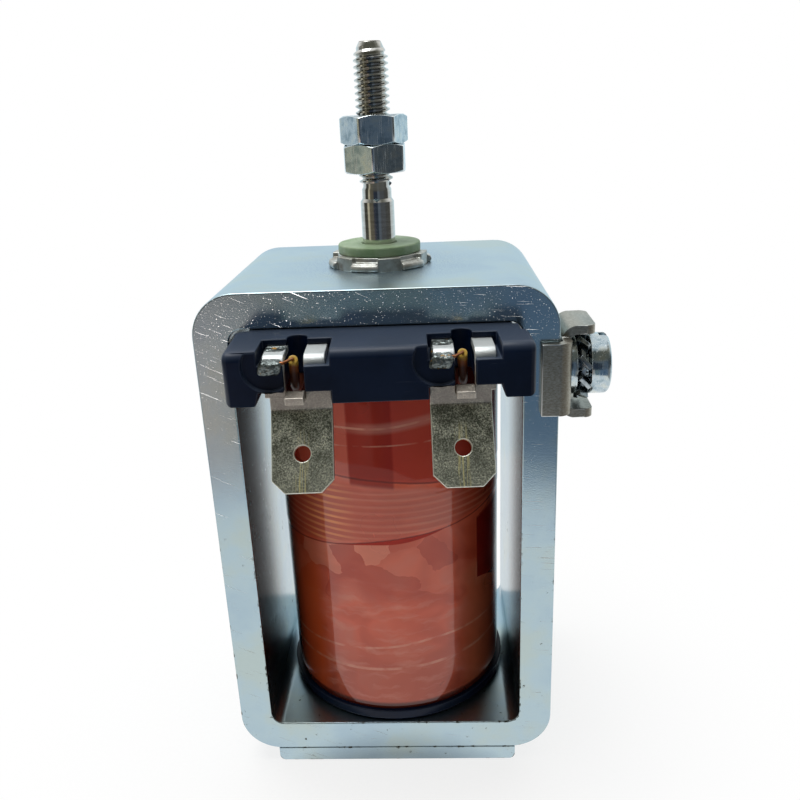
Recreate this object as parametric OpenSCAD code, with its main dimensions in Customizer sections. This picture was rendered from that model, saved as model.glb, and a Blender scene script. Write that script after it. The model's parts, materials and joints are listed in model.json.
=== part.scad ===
// Open-frame push solenoid: a wrapped coil in a steel box yoke, with a threaded push rod.
// Sizes are in millimetres. The origin is on the plunger axis, on the underside of the base plate.
// +Z is up, along the push rod, and the terminals face -Y.

/* [Yoke frame] */
// Width of the yoke
frame_w = 40; // [38:1:60]
// Height of the yoke
frame_h = 61; // [56:1:80]
// Depth of the yoke, front to back
frame_d = 30; // [30:1:40]
// Thickness of the yoke's walls
frame_wall = 4; // [3.5:0.25:4.5]
// Outer corner radius of the yoke
frame_outer_r = 5; // [2:0.5:7]
// Inner corner radius of the yoke
frame_inner_r = 1.6; // [0.4:0.1:1.7]

/* [Base plate] */
// Width of the base plate
base_w = 31; // [29:0.5:36]
// Thickness of the base plate
base_t = 2; // [1:0.25:4]
// Rounding of the plate's lower side edges
base_edge_r = 0.8; // [0.2:0.1:1]
// Distance between the two tapped fixing holes
fixing_pitch = 24; // [21:0.5:25]
// Tap drill of the M4 fixing holes
fixing_drill = 3.3; // [3:0.1:3.6]
// How far the fixing holes go into the yoke, above the plate
fixing_in_yoke = 3; // [1:0.25:3.25]

/* [Coil] */
// Gap between the wrapped coil and the yoke's side walls
coil_gap = 1.6; // [1.2:0.1:4]
// Thickness of the insulating wrap
wrap_t = 0.25; // [0.15:0.05:0.5]
// How far the bobbin's flanges stand past the coil
flange_lip = 0.4; // [0.2:0.1:0.6]
// Thickness of the bobbin's flanges
flange_t = 1.6; // [1:0.1:2.5]
// Chamfer under the lower flange, clear of the yoke's inner corners
flange_chamfer = 0.45; // [0.4:0.05:0.9]
// Wall of the bobbin's core
core_wall = 0.95; // [0.6:0.05:1.5]
// Height that the bobbin leaves free under the yoke's top
bobbin_play = 0.1; // [0.05:0.05:0.3]
// Turn of the whole coil about the plunger axis, in degrees
coil_turn = 2.2; // [0:0.1:4]

/* [Terminal block] */
// Width of the block
block_w = 31.2; // [30:0.1:32]
// Depth of the block, front to back
block_d = 7.55; // [7:0.05:10]
// Height of the block's middle and of its end legs
block_h = 5.6; // [5:0.1:8]
// Gap left between the block and the yoke's front
block_clear = 0.25; // [0.05:0.05:0.5]
// Rounding of the block's upper front edge
block_edge_r = 1; // [0.4:0.1:1.2]
// Rounding of the block's left rear corner
block_corner_r = 1.4; // [0.6:0.2:3]
// Width of the notch in the block's right rear corner
notch_w = 0.8; // [0.4:0.1:1.2]
// Depth of the notch
notch_d = 2.4; // [1:0.1:3]
// Width of the full-height middle of the block
middle_w = 9.8; // [8.8:0.1:9.9]
// Width of the recess for each terminal
recess_w = 7.3; // [6.9:0.1:7.6]
// How far the terminals' ledge lies under the block's top
ledge_drop = 1.55; // [1:0.05:1.6]
// How far the recess ends above the legs
recess_lift = 1.35; // [0.8:0.05:2]
// Depth of the rim behind the ledge
rim_d = 2.7; // [2.2:0.1:3.2]
// Depth of the pockets in the rim that take the prongs' tips
pocket_d = 0.5; // [0.3:0.1:0.8]
// Width of the slots for the coil's leads
lead_slot_w = 2.1; // [1.6:0.1:2.2]
// Plastic in front of each tab's strip
block_skin = 0.8; // [0.7:0.05:1]
// Radius of the scallop under each soldered prong
scallop_r = 2.6; // [1.8:0.1:2.7]
// Depth of the scallop
scallop_d = 0.5; // [0.2:0.05:0.55]
// How far the scallop lies outside the prong's middle
scallop_shift = 0.5; // [0:0.1:0.7]
// Gap between the neck that carries the block and the yoke's side walls
neck_gap = 1.75; // [1.75:0.25:5]
// Height of the neck
neck_h = 3.5; // [2.6:0.1:3.6]
// Slope of each leg's inner side
leg_slope = 0.5; // [0.1:0.1:0.8]

/* [Terminal tabs] */
// Width of the blade
tab_w = 6.3; // [5.8:0.1:6.4]
// Thickness of the blade
tab_t = 0.8; // [0.5:0.05:0.9]
// Distance between the two blades
tab_pitch = 16.2; // [15.9:0.1:16.5]
// Gap between the two prongs on each tab
prong_gap = 2; // [1.4:0.1:2.1]
// Inner radius of the bend into the prongs
prong_bend_r = 0.1; // [0.05:0.05:0.4]
// Straight length of the tab below the block
tab_drop = 2.05; // [1.4:0.05:4]
// Length of the blade below its crease
blade_l = 8.4; // [6:0.1:12]
// Forward tilt of the blade, in degrees
blade_tilt = 30; // [0:1:45]
// Inner radius of the crease
crease_r = 0.3; // [0.1:0.05:0.6]
// Diameter of the blade's detent hole
detent_d = 1.7; // [1.2:0.05:2.2]
// Distance from the detent hole to the blade's tip
detent_tip = 4; // [3:0.1:4.6]
// Chamfer on the blade's corners
blade_chamfer = 1.3; // [0.4:0.1:1.8]
// Length of the locking tongue bent out of the tab
tongue_l = 1.5; // [0.8:0.1:2]
// Downward slope of the tongue, in degrees
tongue_slope = 8; // [2:1:20]

/* [Leads] */
// Diameter of the sleeve on the coil's leads
sleeve_d = 1; // [0.8:0.05:1.1]
// Diameter of the bare wire at the end of a lead
wire_d = 0.3; // [0.2:0.02:0.4]
// Radius of the lead's bend
lead_bend_r = 1.2; // [0.9:0.1:1.3]
// How far the leads lie to the left of their slots' middles
lead_shift = 0.15; // [0:0.05:0.3]
// Forward lean of the sleeve's end, in degrees
lead_lean = 55; // [30:1:70]
// Radius of the curve into the lean
lean_r = 0.8; // [0.6:0.05:1]
// How far under the ledge the lean starts
lean_drop = 0.45; // [0.3:0.05:0.6]
// How deep the bare wire sits in the sleeve
tail_seat = 0.4; // [0.3:0.05:0.5]

/* [Solder] */
// Width of the solder on a prong
solder_w = 2.4; // [2:0.05:2.5]
// Thickness of the solder above the prong
solder_t = 0.25; // [0.15:0.05:0.35]
// Rounding of the solder's edges
solder_r = 0.45; // [0.35:0.05:0.55]
// How far the solder reaches behind the tab's front
solder_reach = 3.6; // [3:0.1:3.8]
// How far the solder stands out in front of the tab
solder_swell = 0.85; // [0.6:0.05:0.95]
// Depth of the drip on the front, under the prong's top
solder_drip = 1.8; // [1.4:0.05:2]
// How far the drip lies to the left of the prong's middle
solder_slip = 0.4; // [0:0.05:0.5]

/* [Plunger] */
// Diameter of the push rod and of its thread
rod_d = 4; // [3.5:0.1:4.4]
// Reach of the rod above the yoke at rest
rod_reach = 25.1; // [23:0.5:40]
// Length of the thread
thread_l = 16; // [15:0.5:17]
// Length of the relief neck under the thread
relief_l = 1.5; // [0.8:0.1:2.4]
// Depth of the relief neck
relief_cut = 0.25; // [0.1:0.05:0.4]
// Chamfer on the rod's end, across
rod_chamfer = 0.75; // [0.2:0.05:1]
// Chamfer on the rod's end, along
rod_chamfer_l = 1; // [0.4:0.1:1.4]
// Nut size across flats
nut_af = 7; // [6.5:0.1:8]
// Height of one nut
nut_h = 3.2; // [2.4:0.1:3.3]
// Height of the lower nut above the yoke
nut_lift = 10.85; // [10.2:0.05:12]
// Turn of the upper nut, in degrees
upper_nut_turn = 8; // [0:1:59]
// Turn of the lower nut, in degrees
lower_nut_turn = 30; // [0:1:59]
// Length of the armature with its nose
armature_l = 28; // [24:0.5:30]
// Height of the armature's conical nose
nose_h = 4; // [2:0.25:6]
// Diameter at the foot of the nose
nose_foot_d = 11.2; // [10:0.1:12]
// Diameter at the top of the nose
nose_d = 8; // [7.8:0.1:9]
// How deep the rod goes into the armature
rod_grip = 20; // [10:1:23]
// Travel of the plunger
stroke = 6; // [2:0.5:7]
// Thickness of the anti-stick washer
shim_t = 0.3; // [0.1:0.05:0.6]

/* [Core] */
// Outside diameter of the guide tube
tube_d = 15; // [14.6:0.1:16]
// Wall of the guide tube
tube_wall = 0.5; // [0.3:0.05:0.6]
// Diameter of the pole piece's spigot
spigot_d = 11.6; // [10.6:0.1:12.4]
// Height of the staked collar above the yoke
collar_h = 1.5; // [1.2:0.1:2.5]
// Diameter over the staked lobes
lobe_d = 12.7; // [12.5:0.1:13.5]
// Number of staked lobes
lobe_count = 6; // [3:1:8]
// Height of the lobes
lobe_h = 0.95; // [0.5:0.05:1.1]
// Angle that one lobe covers
lobe_span = 32; // [16:1:40]
// Turn of the lobes from the front, in degrees
lobe_turn = -15; // [-30:1:30]
// Depth of the staking tool's marks above the lobes
stake_cut = 0.7; // [0.3:0.1:1]
// Outside diameter of the rod's bush
bush_d = 6; // [5.4:0.1:6.6]
// Length of the rod's bush
bush_l = 12.5; // [6:0.5:14]
// Diameter of the buffer washer
buffer_d = 10; // [8:0.1:11]
// Thickness of the buffer washer
buffer_t = 1.15; // [0.6:0.05:2]

/* [Return spring] */
// Outside diameter of the spring
spring_d = 6.7; // [6.2:0.1:6.9]
// Diameter of the spring wire
spring_wire = 0.7; // [0.4:0.05:0.8]
// Number of turns
spring_turns = 9; // [6:1:10]
// Radial gap between the spring and its chamber
spring_clear = 0.35; // [0.2:0.05:0.5]

/* [Earth terminal] */
// Distance of the earth screw below the yoke's top
earth_drop = 10.5; // [8:0.25:30]
// Distance of the earth screw behind the yoke's front
earth_setback = 5.2; // [4.6:0.1:9]
// Thickness of the clamp's sheet
clamp_sheet = 1; // [0.7:0.05:1.1]
// Gap between the clamp and the yoke's side
clamp_standoff = 0.3; // [0.25:0.05:0.4]
// Gap between the clamp's hook and the yoke's front
hook_gap = 0.1; // [0.05:0.05:0.15]
// Inner radius of the hook's bend
hook_r = 0.5; // [0.4:0.05:0.6]
// Height of the hook
hook_h = 8.2; // [6:0.1:9]
// How far the hook reaches over the yoke's front
hook_l = 2.1; // [1.5:0.1:2.5]
// Distance between the clamp's ears
ear_gap = 8.7; // [8.6:0.1:10]
// Width of the ears
ear_w = 7; // [6:0.1:8.6]
// Reach of the ears from the yoke's side
ear_reach = 4.1; // [3.4:0.1:6]
// Rounding of the ears' outer corners
ear_corner_r = 1; // [0.3:0.1:1.5]
// Inner radius of the ears' bends
ear_r = 0.8; // [0.4:0.1:0.8]
// Nominal diameter of the earth screw
screw_d = 4; // [3.5:0.1:4.2]
// Length of the earth screw under its head
screw_l = 8; // [6.5:0.5:9]
// Diameter of the screw's head
head_d = 7; // [6.6:0.1:8]
// Height of the screw's head
head_h = 2.3; // [2:0.1:3]
// Rounding of the head's outer edge
head_r = 0.6; // [0.2:0.1:0.9]
// Width of the driver slot
slot_w = 1.2; // [0.8:0.1:1.4]
// Depth of the driver slot
slot_d = 1.1; // [0.6:0.1:1.4]
// Diameter of the flat washer
flat_d = 7; // [6.4:0.1:7]
// Thickness of the flat washer
flat_t = 1; // [0.6:0.1:1.4]
// Diameter over the lock washer's teeth
lock_d = 8; // [7.4:0.1:8.4]
// Sheet thickness of the lock washer
lock_t = 0.5; // [0.3:0.05:0.6]
// Height of the lock washer over its twisted teeth
lock_h = 1.5; // [1.2:0.05:1.8]
// Number of teeth
lock_teeth = 10; // [6:1:12]
// Depth of a tooth
tooth_l = 1.1; // [0.7:0.05:1.2]
// Twist of each tooth, in degrees
tooth_twist = 40; // [20:1:60]

/* [Hidden] */

$fn = 96;

// Radial gap of pieces that are pressed or pushed together
seat_gap = 0.02;
// Radial gap of the rod in its bush and of the armature in its tube
running_gap = 0.05;
// Radial gap of washers and holes round a screw or a rod
hole_gap = 0.15;
// Gap between the tabs and the plastic that holds them
slot_gap = 0.05;
// Overshoot of every cut past the surface that it opens
past = 1;

// Heights of the yoke's faces
yoke_z = base_t;
floor_z = yoke_z + frame_wall;
roof_z = yoke_z + frame_h - frame_wall;
top_z = yoke_z + frame_h;

// Guide tube, bobbin and coil
tube_r = tube_d / 2;
tube_inner_r = tube_r - tube_wall;
core_inner_r = tube_r + seat_gap;
core_r = core_inner_r + core_wall;
coil_r = frame_w / 2 - frame_wall - coil_gap;
flange_r = coil_r + flange_lip;
bobbin_top = roof_z - bobbin_play;
coil_bottom = floor_z + flange_t;
coil_top = bobbin_top - flange_t;

// Terminal block, in the coil's own turned axes
block_rear = -(frame_d / 2 + block_clear + block_w / 2 * sin(coil_turn)) / cos(coil_turn);
block_left_rear = -(frame_d / 2 + block_clear - block_w / 2 * sin(coil_turn)) / cos(coil_turn);
block_front = block_rear - block_d;
block_run = block_left_rear - block_front;
block_bottom = bobbin_top - block_h;
ledge_z = bobbin_top - ledge_drop;
recess_z = block_bottom + recess_lift;
neck_w = frame_w - 2 * (frame_wall + neck_gap);
rim_front = block_rear - rim_d;
slot_end = block_rear - lead_slot_w;

// Tabs, in the same axes, with the prongs in the middle of their recesses
prong_pitch = middle_w + recess_w;
strip_front = block_front + block_skin;
strip_back = strip_front + tab_t;
prong_w = (tab_w - prong_gap) / 2;
prong_mid = (prong_gap + prong_w) / 2;
prong_outer_r = prong_bend_r + tab_t;
prong_top = ledge_z + slot_gap + tab_t;
prong_bend_z = prong_top - prong_outer_r;
prong_tip = rim_front + pocket_d - slot_gap;
crease_z = recess_z - tab_drop;
tongue_r = 0.2;
tongue_w = prong_gap - 2 * slot_gap;
tongue_bend = 90 + tongue_slope;
gap_floor = recess_z - slot_gap - tongue_r - tab_t;
scallop_u = -prong_mid - scallop_shift;

// Leads, in the same axes
sleeve_r = sleeve_d / 2;
lead_v = strip_back + slot_gap + sleeve_r;
lead_run_z = recess_z - slot_gap - sleeve_r;
lead_end = -sqrt(pow(coil_r + hole_gap, 2) - pow(prong_pitch / 2 - lead_shift - sleeve_r, 2));
lean_z = ledge_z - lean_drop;
mouth = [-lead_shift, lead_v - lean_r * (1 - cos(lead_lean)), lean_z + lean_r * sin(lead_lean)];
mouth_axis = [0, -sin(lead_lean), cos(lead_lean)];
tail_v = strip_front - wire_d / 2 - 2 * slot_gap;
tail_z = ledge_z + wire_d / 2 + 2 * slot_gap;

// Plunger, at rest on the base plate
rod_r = rod_d / 2;
armature_r = tube_inner_r - running_gap;
armature_top = yoke_z + armature_l;
rod_bottom = armature_top - rod_grip;
rod_top = top_z + rod_reach;
thread_z = rod_top - thread_l;
shim_top = armature_top + shim_t;
nut_z = top_z + nut_lift;

// Pole piece, above the plunger's travel
pole_r = tube_inner_r - seat_gap;
seat_z = shim_top + stroke + running_gap;
pole_z = seat_z - nose_h;
spigot_r = spigot_d / 2;
collar_top = top_z + collar_h;
bush_bottom = collar_top - bush_l;
spring_bore_r = spring_d / 2 + spring_clear;
nose_clear = hole_gap;
lobe_bevel = 0.35;

// Return spring, as rings of points along a helix
spring_steps = 12;
spring_sides = 6;
spring_mid_r = (spring_d - spring_wire) / 2;
spring_z = shim_top + spring_wire / 2 + seat_gap;
spring_rise = bush_bottom - seat_gap - spring_wire / 2 - spring_z;
spring_rings = spring_turns * spring_steps;

// Earth terminal
earth_y = -frame_d / 2 + earth_setback;
earth_z = top_z - earth_drop;
clamp_x = frame_w / 2 + clamp_standoff;
flat_x = clamp_x + clamp_sheet;
lock_x = flat_x + flat_t;
head_x = lock_x + lock_h;
screw_r = screw_d / 2 - running_gap;
ear_outer = ear_gap / 2 + clamp_sheet;
ear_bend = ear_r + clamp_sheet;
lock_ring_r = lock_d / 2 - tooth_l;
tooth_root = 0.4;

// Flat outline with four round corners, centred on x, standing on y = 0
module round_rect(w, h, r) {
    translate([-w / 2 + r, 0]) square([w - 2 * r, h]);
    translate([-w / 2, r]) square([w, h - 2 * r]);
    for (x = [-w / 2 + r, w / 2 - r], y = [r, h - r])
        translate([x, y]) circle(r);
}

// What rounding takes off the corner at the origin of a shape that lies along -x and -y
module corner_waste(r) {
    difference() {
        translate([-r, -r]) square(r + past);
        translate([-r, -r]) circle(r);
    }
}

// Points along an arc
function arc(centre, r, from, to, steps = 6) =
    [for (i = [0:steps]) let (a = from + (to - from) * i / steps) centre + r * [cos(a), sin(a)]];

// Ring of a given height
module ring(outer_r, inner_r, h) {
    difference() {
        cylinder(r = outer_r, h = h);
        translate([0, 0, -past]) cylinder(r = inner_r, h = h + 2 * past);
    }
}

// Points on the return spring's wire, and their places in the list
function spring_point(ring, side) =
    let (turn = ring * 360 / spring_steps)
    let (r = spring_mid_r + spring_wire / 2 * cos(side * 360 / spring_sides))
    let (z = spring_z + spring_rise * ring / spring_rings + spring_wire / 2 * sin(side * 360 / spring_sides))
    [r * cos(turn), r * sin(turn), z];
function spring_index(ring, side) = ring * spring_sides + side % spring_sides;

// Bend in a sheet, about the local z axis, from the local x axis through an angle
module sheet_bend(inner_r, sheet, width, angle) {
    rotate_extrude(angle = angle) translate([inner_r, 0]) square([sheet, width]);
}

// Places a child that is drawn with x to the back, y up and z to the right
module side_on() {
    rotate([90, 0, 90]) children();
}

// Places a child that is drawn along z on the earth screw's axis
module on_earth_axis(x) {
    translate([x, earth_y, earth_z]) rotate([0, 90, 0]) children();
}

// Turns a child with the coil
module with_coil() {
    rotate([0, 0, coil_turn]) children();
}

// Places a child at the left or the right pair of prongs
module at_prongs(side) {
    with_coil() translate([side * prong_pitch / 2, 0, 0]) children();
}

// Drills the two fixing holes, from under the plate
module fixing_holes() {
    for (x = [-fixing_pitch / 2, fixing_pitch / 2])
        translate([x, 0, -past]) cylinder(d = fixing_drill, h = base_t + fixing_in_yoke + past);
}

// Box yoke, open at the front and the back
module yoke_frame() {
    color("lightsteelblue") difference() {
        translate([0, frame_d / 2, yoke_z]) rotate([90, 0, 0]) linear_extrude(frame_d) difference() {
            round_rect(frame_w, frame_h, frame_outer_r);
            translate([0, frame_wall])
                round_rect(frame_w - 2 * frame_wall, frame_h - 2 * frame_wall, frame_inner_r);
        }
        translate([0, 0, roof_z - past]) cylinder(r = spigot_r + seat_gap, h = frame_wall + 2 * past);
        translate([0, 0, yoke_z - past]) cylinder(r = tube_r + seat_gap, h = frame_wall + 2 * past);
        on_earth_axis(frame_w / 2 - frame_wall - past) cylinder(d = screw_d, h = frame_wall + 2 * past);
        fixing_holes();
    }
}

// Plate that closes the yoke underneath and stops the armature
module base_plate() {
    color("lightsteelblue") difference() {
        translate([0, frame_d / 2, 0]) rotate([90, 0, 0]) linear_extrude(frame_d) {
            translate([-base_w / 2 + base_edge_r, 0]) square([base_w - 2 * base_edge_r, base_t]);
            translate([-base_w / 2, base_edge_r]) square([base_w, base_t - base_edge_r]);
            for (x = [-base_w / 2 + base_edge_r, base_w / 2 - base_edge_r])
                translate([x, base_edge_r]) intersection() {
                    circle(base_edge_r);
                    translate([-base_edge_r, -base_edge_r]) square([2 * base_edge_r, base_edge_r]);
                }
        }
        fixing_holes();
    }
}

// One lobe that the staking tool has pressed out of the collar, over the yoke's top
module staked_lobe() {
    rotate([0, 0, -lobe_span / 2]) rotate_extrude(angle = lobe_span) polygon([
        [spigot_r - past, 0],
        [lobe_d / 2 - lobe_bevel / 2, 0],
        [lobe_d / 2, lobe_bevel],
        [lobe_d / 2 - lobe_bevel / 2, lobe_h - lobe_bevel / 2],
        [spigot_r - past, lobe_h]
    ]);
}

// Fixed core: a shouldered cylinder whose spigot is staked over the yoke's top
module pole_piece() {
    color("dimgray") difference() {
        union() {
            translate([0, 0, pole_z]) cylinder(r = pole_r, h = roof_z - pole_z);
            translate([0, 0, roof_z - past]) cylinder(r = spigot_r, h = collar_top - roof_z + past);
            for (i = [0:lobe_count - 1])
                translate([0, 0, top_z]) rotate([0, 0, lobe_turn - 90 + i * 360 / lobe_count]) staked_lobe();
        }
        // Bush and spring chamber
        translate([0, 0, bush_bottom - past]) cylinder(d = bush_d + 2 * seat_gap, h = bush_l + 2 * past);
        translate([0, 0, pole_z - past]) cylinder(r = spring_bore_r, h = bush_bottom - pole_z + past);
        // Conical seat for the armature's nose
        translate([0, 0, pole_z])
            cylinder(r1 = nose_foot_d / 2 + nose_clear, r2 = nose_d / 2 + nose_clear, h = nose_h);
        // Marks of the staking tool above the lobes
        for (i = [0:lobe_count - 1])
            rotate([0, 0, lobe_turn - 90 + i * 360 / lobe_count]) translate([0, 0, top_z + lobe_h])
                rotate([0, 0, -lobe_span / 2]) rotate_extrude(angle = lobe_span)
                    translate([spigot_r - stake_cut, 0]) square([past + stake_cut, collar_h]);
    }
}

// Thin tube that guides the armature
module guide_tube() {
    color("goldenrod") translate([0, 0, yoke_z]) ring(tube_r, tube_inner_r, roof_z - yoke_z);
}

// Bush that guides the push rod in the pole piece
module rod_bush() {
    color("peru") translate([0, 0, bush_bottom]) ring(bush_d / 2, rod_r + running_gap, bush_l);
}

// Washer on the collar that takes the knock when the rod returns
module buffer_washer() {
    color("darkseagreen") translate([0, 0, collar_top]) ring(buffer_d / 2, rod_r + running_gap * 2, buffer_t);
}

// Outline of the terminal block from above, with its rear side along the yoke's front
module block_plan() {
    difference() {
        translate([-block_w / 2, block_front]) square([block_w, block_run]);
        rotate(-coil_turn) translate([-frame_w, -frame_d / 2 - block_clear]) square([2 * frame_w, block_d]);
        translate([-block_w / 2, block_left_rear]) mirror([1, 0]) corner_waste(block_corner_r);
        translate([block_w / 2 - notch_w, block_rear - notch_d]) square([notch_w + past, block_d]);
    }
}

// Outline of the terminal block from the side, with its round upper front edge
module block_side() {
    difference() {
        translate([block_front, block_bottom]) square([block_run, block_h]);
        translate([block_front, bobbin_top]) mirror([1, 0]) corner_waste(block_edge_r);
    }
}

// Cuts for one terminal: ledge, underside, slot for the strip, pockets, lead slot and scallop
module terminal_cuts(side) {
    recess_u = side > 0 ? middle_w / 2 : -middle_w / 2 - recess_w;
    translate([recess_u, block_front - past, ledge_z])
        cube([recess_w, rim_front - block_front + past, block_h]);
    translate([recess_u, block_front - past, block_bottom - past])
        cube([recess_w, block_run + 2 * past, recess_lift + past]);
    translate([side * prong_pitch / 2, 0, 0]) {
        translate([-tab_w / 2 - slot_gap, strip_front - slot_gap, block_bottom - past])
            cube([tab_w + 2 * slot_gap, tab_t + 2 * slot_gap, block_h]);
        translate([-tab_w / 2 - slot_gap, strip_front, prong_bend_z])
            cube([tab_w + 2 * slot_gap, prong_outer_r, block_h]);
        for (u = [-prong_mid, prong_mid])
            translate([u - prong_w / 2 - slot_gap, rim_front - past, ledge_z])
                cube([prong_w + 2 * slot_gap, past + pocket_d, tab_t + 2 * slot_gap]);
        translate([0, slot_end, block_bottom - past]) cylinder(d = lead_slot_w, h = block_h + 2 * past);
        translate([-lead_slot_w / 2, block_front - past, block_bottom - past])
            cube([lead_slot_w, slot_end - block_front + past, block_h + 2 * past]);
        translate([scallop_u, block_front + scallop_d, ledge_z]) rotate([90, 0, 0])
            cylinder(r = scallop_r, h = scallop_d + past);
    }
}

// Slope on the inner side of a leg
module leg_slopes() {
    foot_u = middle_w / 2 + recess_w;
    translate([0, block_left_rear + past, 0]) rotate([90, 0, 0]) linear_extrude(block_run + 2 * past)
        for (side = [-1, 1])
            polygon([
                [side * (foot_u - past), recess_z],
                [side * foot_u, recess_z],
                [side * (foot_u + leg_slope), block_bottom - past / 2],
                [side * (foot_u - past), block_bottom - past / 2]
            ]);
}

// Moulded coil former, with the terminal block in one piece with its upper flange
module bobbin() {
    color("#23252b") with_coil() difference() {
        union() {
            translate([0, 0, floor_z]) rotate_extrude() polygon([
                [0, 0],
                [flange_r - flange_chamfer, 0],
                [flange_r, flange_chamfer],
                [flange_r, flange_t],
                [0, flange_t]
            ]);
            translate([0, 0, floor_z]) cylinder(r = core_r, h = bobbin_top - floor_z);
            translate([0, 0, coil_top]) cylinder(r = flange_r, h = flange_t);
            translate([-neck_w / 2, block_rear - past, coil_top]) cube([neck_w, flange_r, flange_t]);
            translate([-neck_w / 2, block_rear - past, bobbin_top - neck_h])
                cube([neck_w, -coil_r - hole_gap - block_rear + past, neck_h]);
            difference() {
                intersection() {
                    translate([0, 0, block_bottom]) linear_extrude(block_h) block_plan();
                    translate([-block_w / 2, 0, 0]) side_on() linear_extrude(block_w) block_side();
                }
                for (side = [-1, 1]) terminal_cuts(side);
                leg_slopes();
            }
        }
        translate([0, 0, floor_z - past]) cylinder(r = core_inner_r, h = frame_h);
    }
}

// Winding of enamelled copper wire
module coil_winding() {
    color("sienna") with_coil() translate([0, 0, coil_bottom])
        ring(coil_r - wrap_t - seat_gap, core_r + seat_gap, coil_top - coil_bottom);
}

// Insulating film over the winding
module coil_wrap() {
    color("#a5482f") with_coil() translate([0, 0, coil_bottom])
        ring(coil_r, coil_r - wrap_t, coil_top - coil_bottom);
}

// Side view of a terminal: prongs, strip and tilted blade as one bent sheet, with x to the back and y up
module tab_side() {
    bend = [strip_front + prong_outer_r, prong_bend_z];
    crease = [strip_front - crease_r, crease_z];
    across = [cos(blade_tilt), -sin(blade_tilt)];
    down = blade_l * [-sin(blade_tilt), -cos(blade_tilt)];
    polygon(concat(
        [[prong_tip, prong_top]],
        arc(bend, prong_outer_r, 90, 180),
        arc(crease, crease_r, 0, -blade_tilt),
        [crease + crease_r * across + down, crease + (crease_r + tab_t) * across + down],
        arc(crease, crease_r + tab_t, -blade_tilt, 0),
        arc(bend, prong_bend_r, 180, 90),
        [[prong_tip, prong_top - tab_t]]
    ));
}

// Side view of the tongue that is bent forwards out of the gap between the prongs
module tongue_side() {
    bend = [strip_front - tongue_r, gap_floor];
    out = [cos(tongue_bend), sin(tongue_bend)];
    along = tongue_l * [-sin(tongue_bend), cos(tongue_bend)];
    polygon(concat(
        arc(bend, tongue_r + tab_t, 0, tongue_bend),
        [bend + (tongue_r + tab_t) * out + along, bend + tongue_r * out + along],
        arc(bend, tongue_r, tongue_bend, 0)
    ));
}

// What comes off the blade, seen square on: its two corners and the detent hole
module blade_waste() {
    edge = tab_w / 2;
    for (side = [-1, 1])
        polygon([
            [side * (edge - blade_chamfer - past), -blade_l - past],
            [side * (edge + past), -blade_l + blade_chamfer + past],
            [side * (edge + past), -blade_l - past]
        ]);
    translate([0, -blade_l + detent_tip]) circle(d = detent_d);
}

// One terminal: two prongs on the ledge, a strip down through the block, a locking tongue and a blade.
// The strip steps sideways under the block, from the prongs' middle to the blade's.
module terminal_tab(side) {
    blade_u = side * (tab_pitch - prong_pitch) / 2;
    difference() {
        union() {
            difference() {
                translate([blade_u - tab_w / 2, 0, 0]) side_on() linear_extrude(tab_w) tab_side();
                translate([-tab_w, block_front - past, recess_z - slot_gap])
                    cube([2 * tab_w, block_d + past, 2 * block_h]);
            }
            intersection() {
                translate([-tab_w / 2, 0, 0]) side_on() linear_extrude(tab_w) tab_side();
                translate([-tab_w, block_front - past, recess_z - tab_t])
                    cube([2 * tab_w, block_d + past, 2 * block_h]);
            }
        }
        translate([-prong_gap / 2, strip_front - past, gap_floor])
            cube([prong_gap, prong_tip - strip_front + 2 * past, block_h]);
        translate([blade_u, 0, 0]) side_on() translate([strip_front - crease_r, crease_z])
            rotate(-blade_tilt) translate([crease_r + tab_t + past, 0, 0]) rotate([0, -90, 0])
                linear_extrude(tab_t + 2 * past) blade_waste();
    }
    translate([-tongue_w / 2, 0, 0]) side_on() linear_extrude(tongue_w) tongue_side();
}

module terminal_tab_left() {
    color("#9a978a") at_prongs(-1) terminal_tab(-1);
}

module terminal_tab_right() {
    color("#9a978a") at_prongs(1) terminal_tab(1);
}

// Round-edged bar across the left prong, at a place on the side view
module solder_bar(at, slip) {
    half = solder_w / 2 - solder_r;
    for (u = [-half, half])
        translate([u - prong_mid - slip, at[0], at[1]]) sphere(solder_r, $fn = 24);
}

// Solder that has flowed over the left prong of a tab and down its front, within the recess
module solder_joint(side) {
    recess_u = side > 0 ? middle_w / 2 : -middle_w / 2 - recess_w;
    room = side * prong_pitch / 2 - recess_u - slot_gap;
    front_v = strip_front - solder_swell + solder_r;
    difference() {
        hull() {
            solder_bar([strip_front + solder_reach - solder_r, prong_top + solder_t - solder_r], 0);
            solder_bar([front_v, prong_top - tab_t], solder_slip / 2);
            solder_bar([front_v, prong_top - solder_drip + solder_r], solder_slip);
        }
        // Ledge, and the plastic behind the scallop
        translate([-tab_w, block_front + scallop_d - slot_gap, ledge_z - block_h])
            cube([2 * tab_w, block_d, block_h + slot_gap]);
        // Wall of the recess on the left, and the space on the right where the lead stands
        translate([-room - tab_w, block_front - past, block_bottom]) cube([tab_w, block_d, 2 * block_h]);
        translate([-prong_gap / 2 + 2 * slot_gap, block_front - past, block_bottom])
            cube([tab_w, block_d, 2 * block_h]);
        terminal_tab(side);
        wire_tail();
    }
}

module solder_left() {
    color("gainsboro") at_prongs(-1) solder_joint(-1);
}

module solder_right() {
    color("gainsboro") at_prongs(1) solder_joint(1);
}

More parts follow.
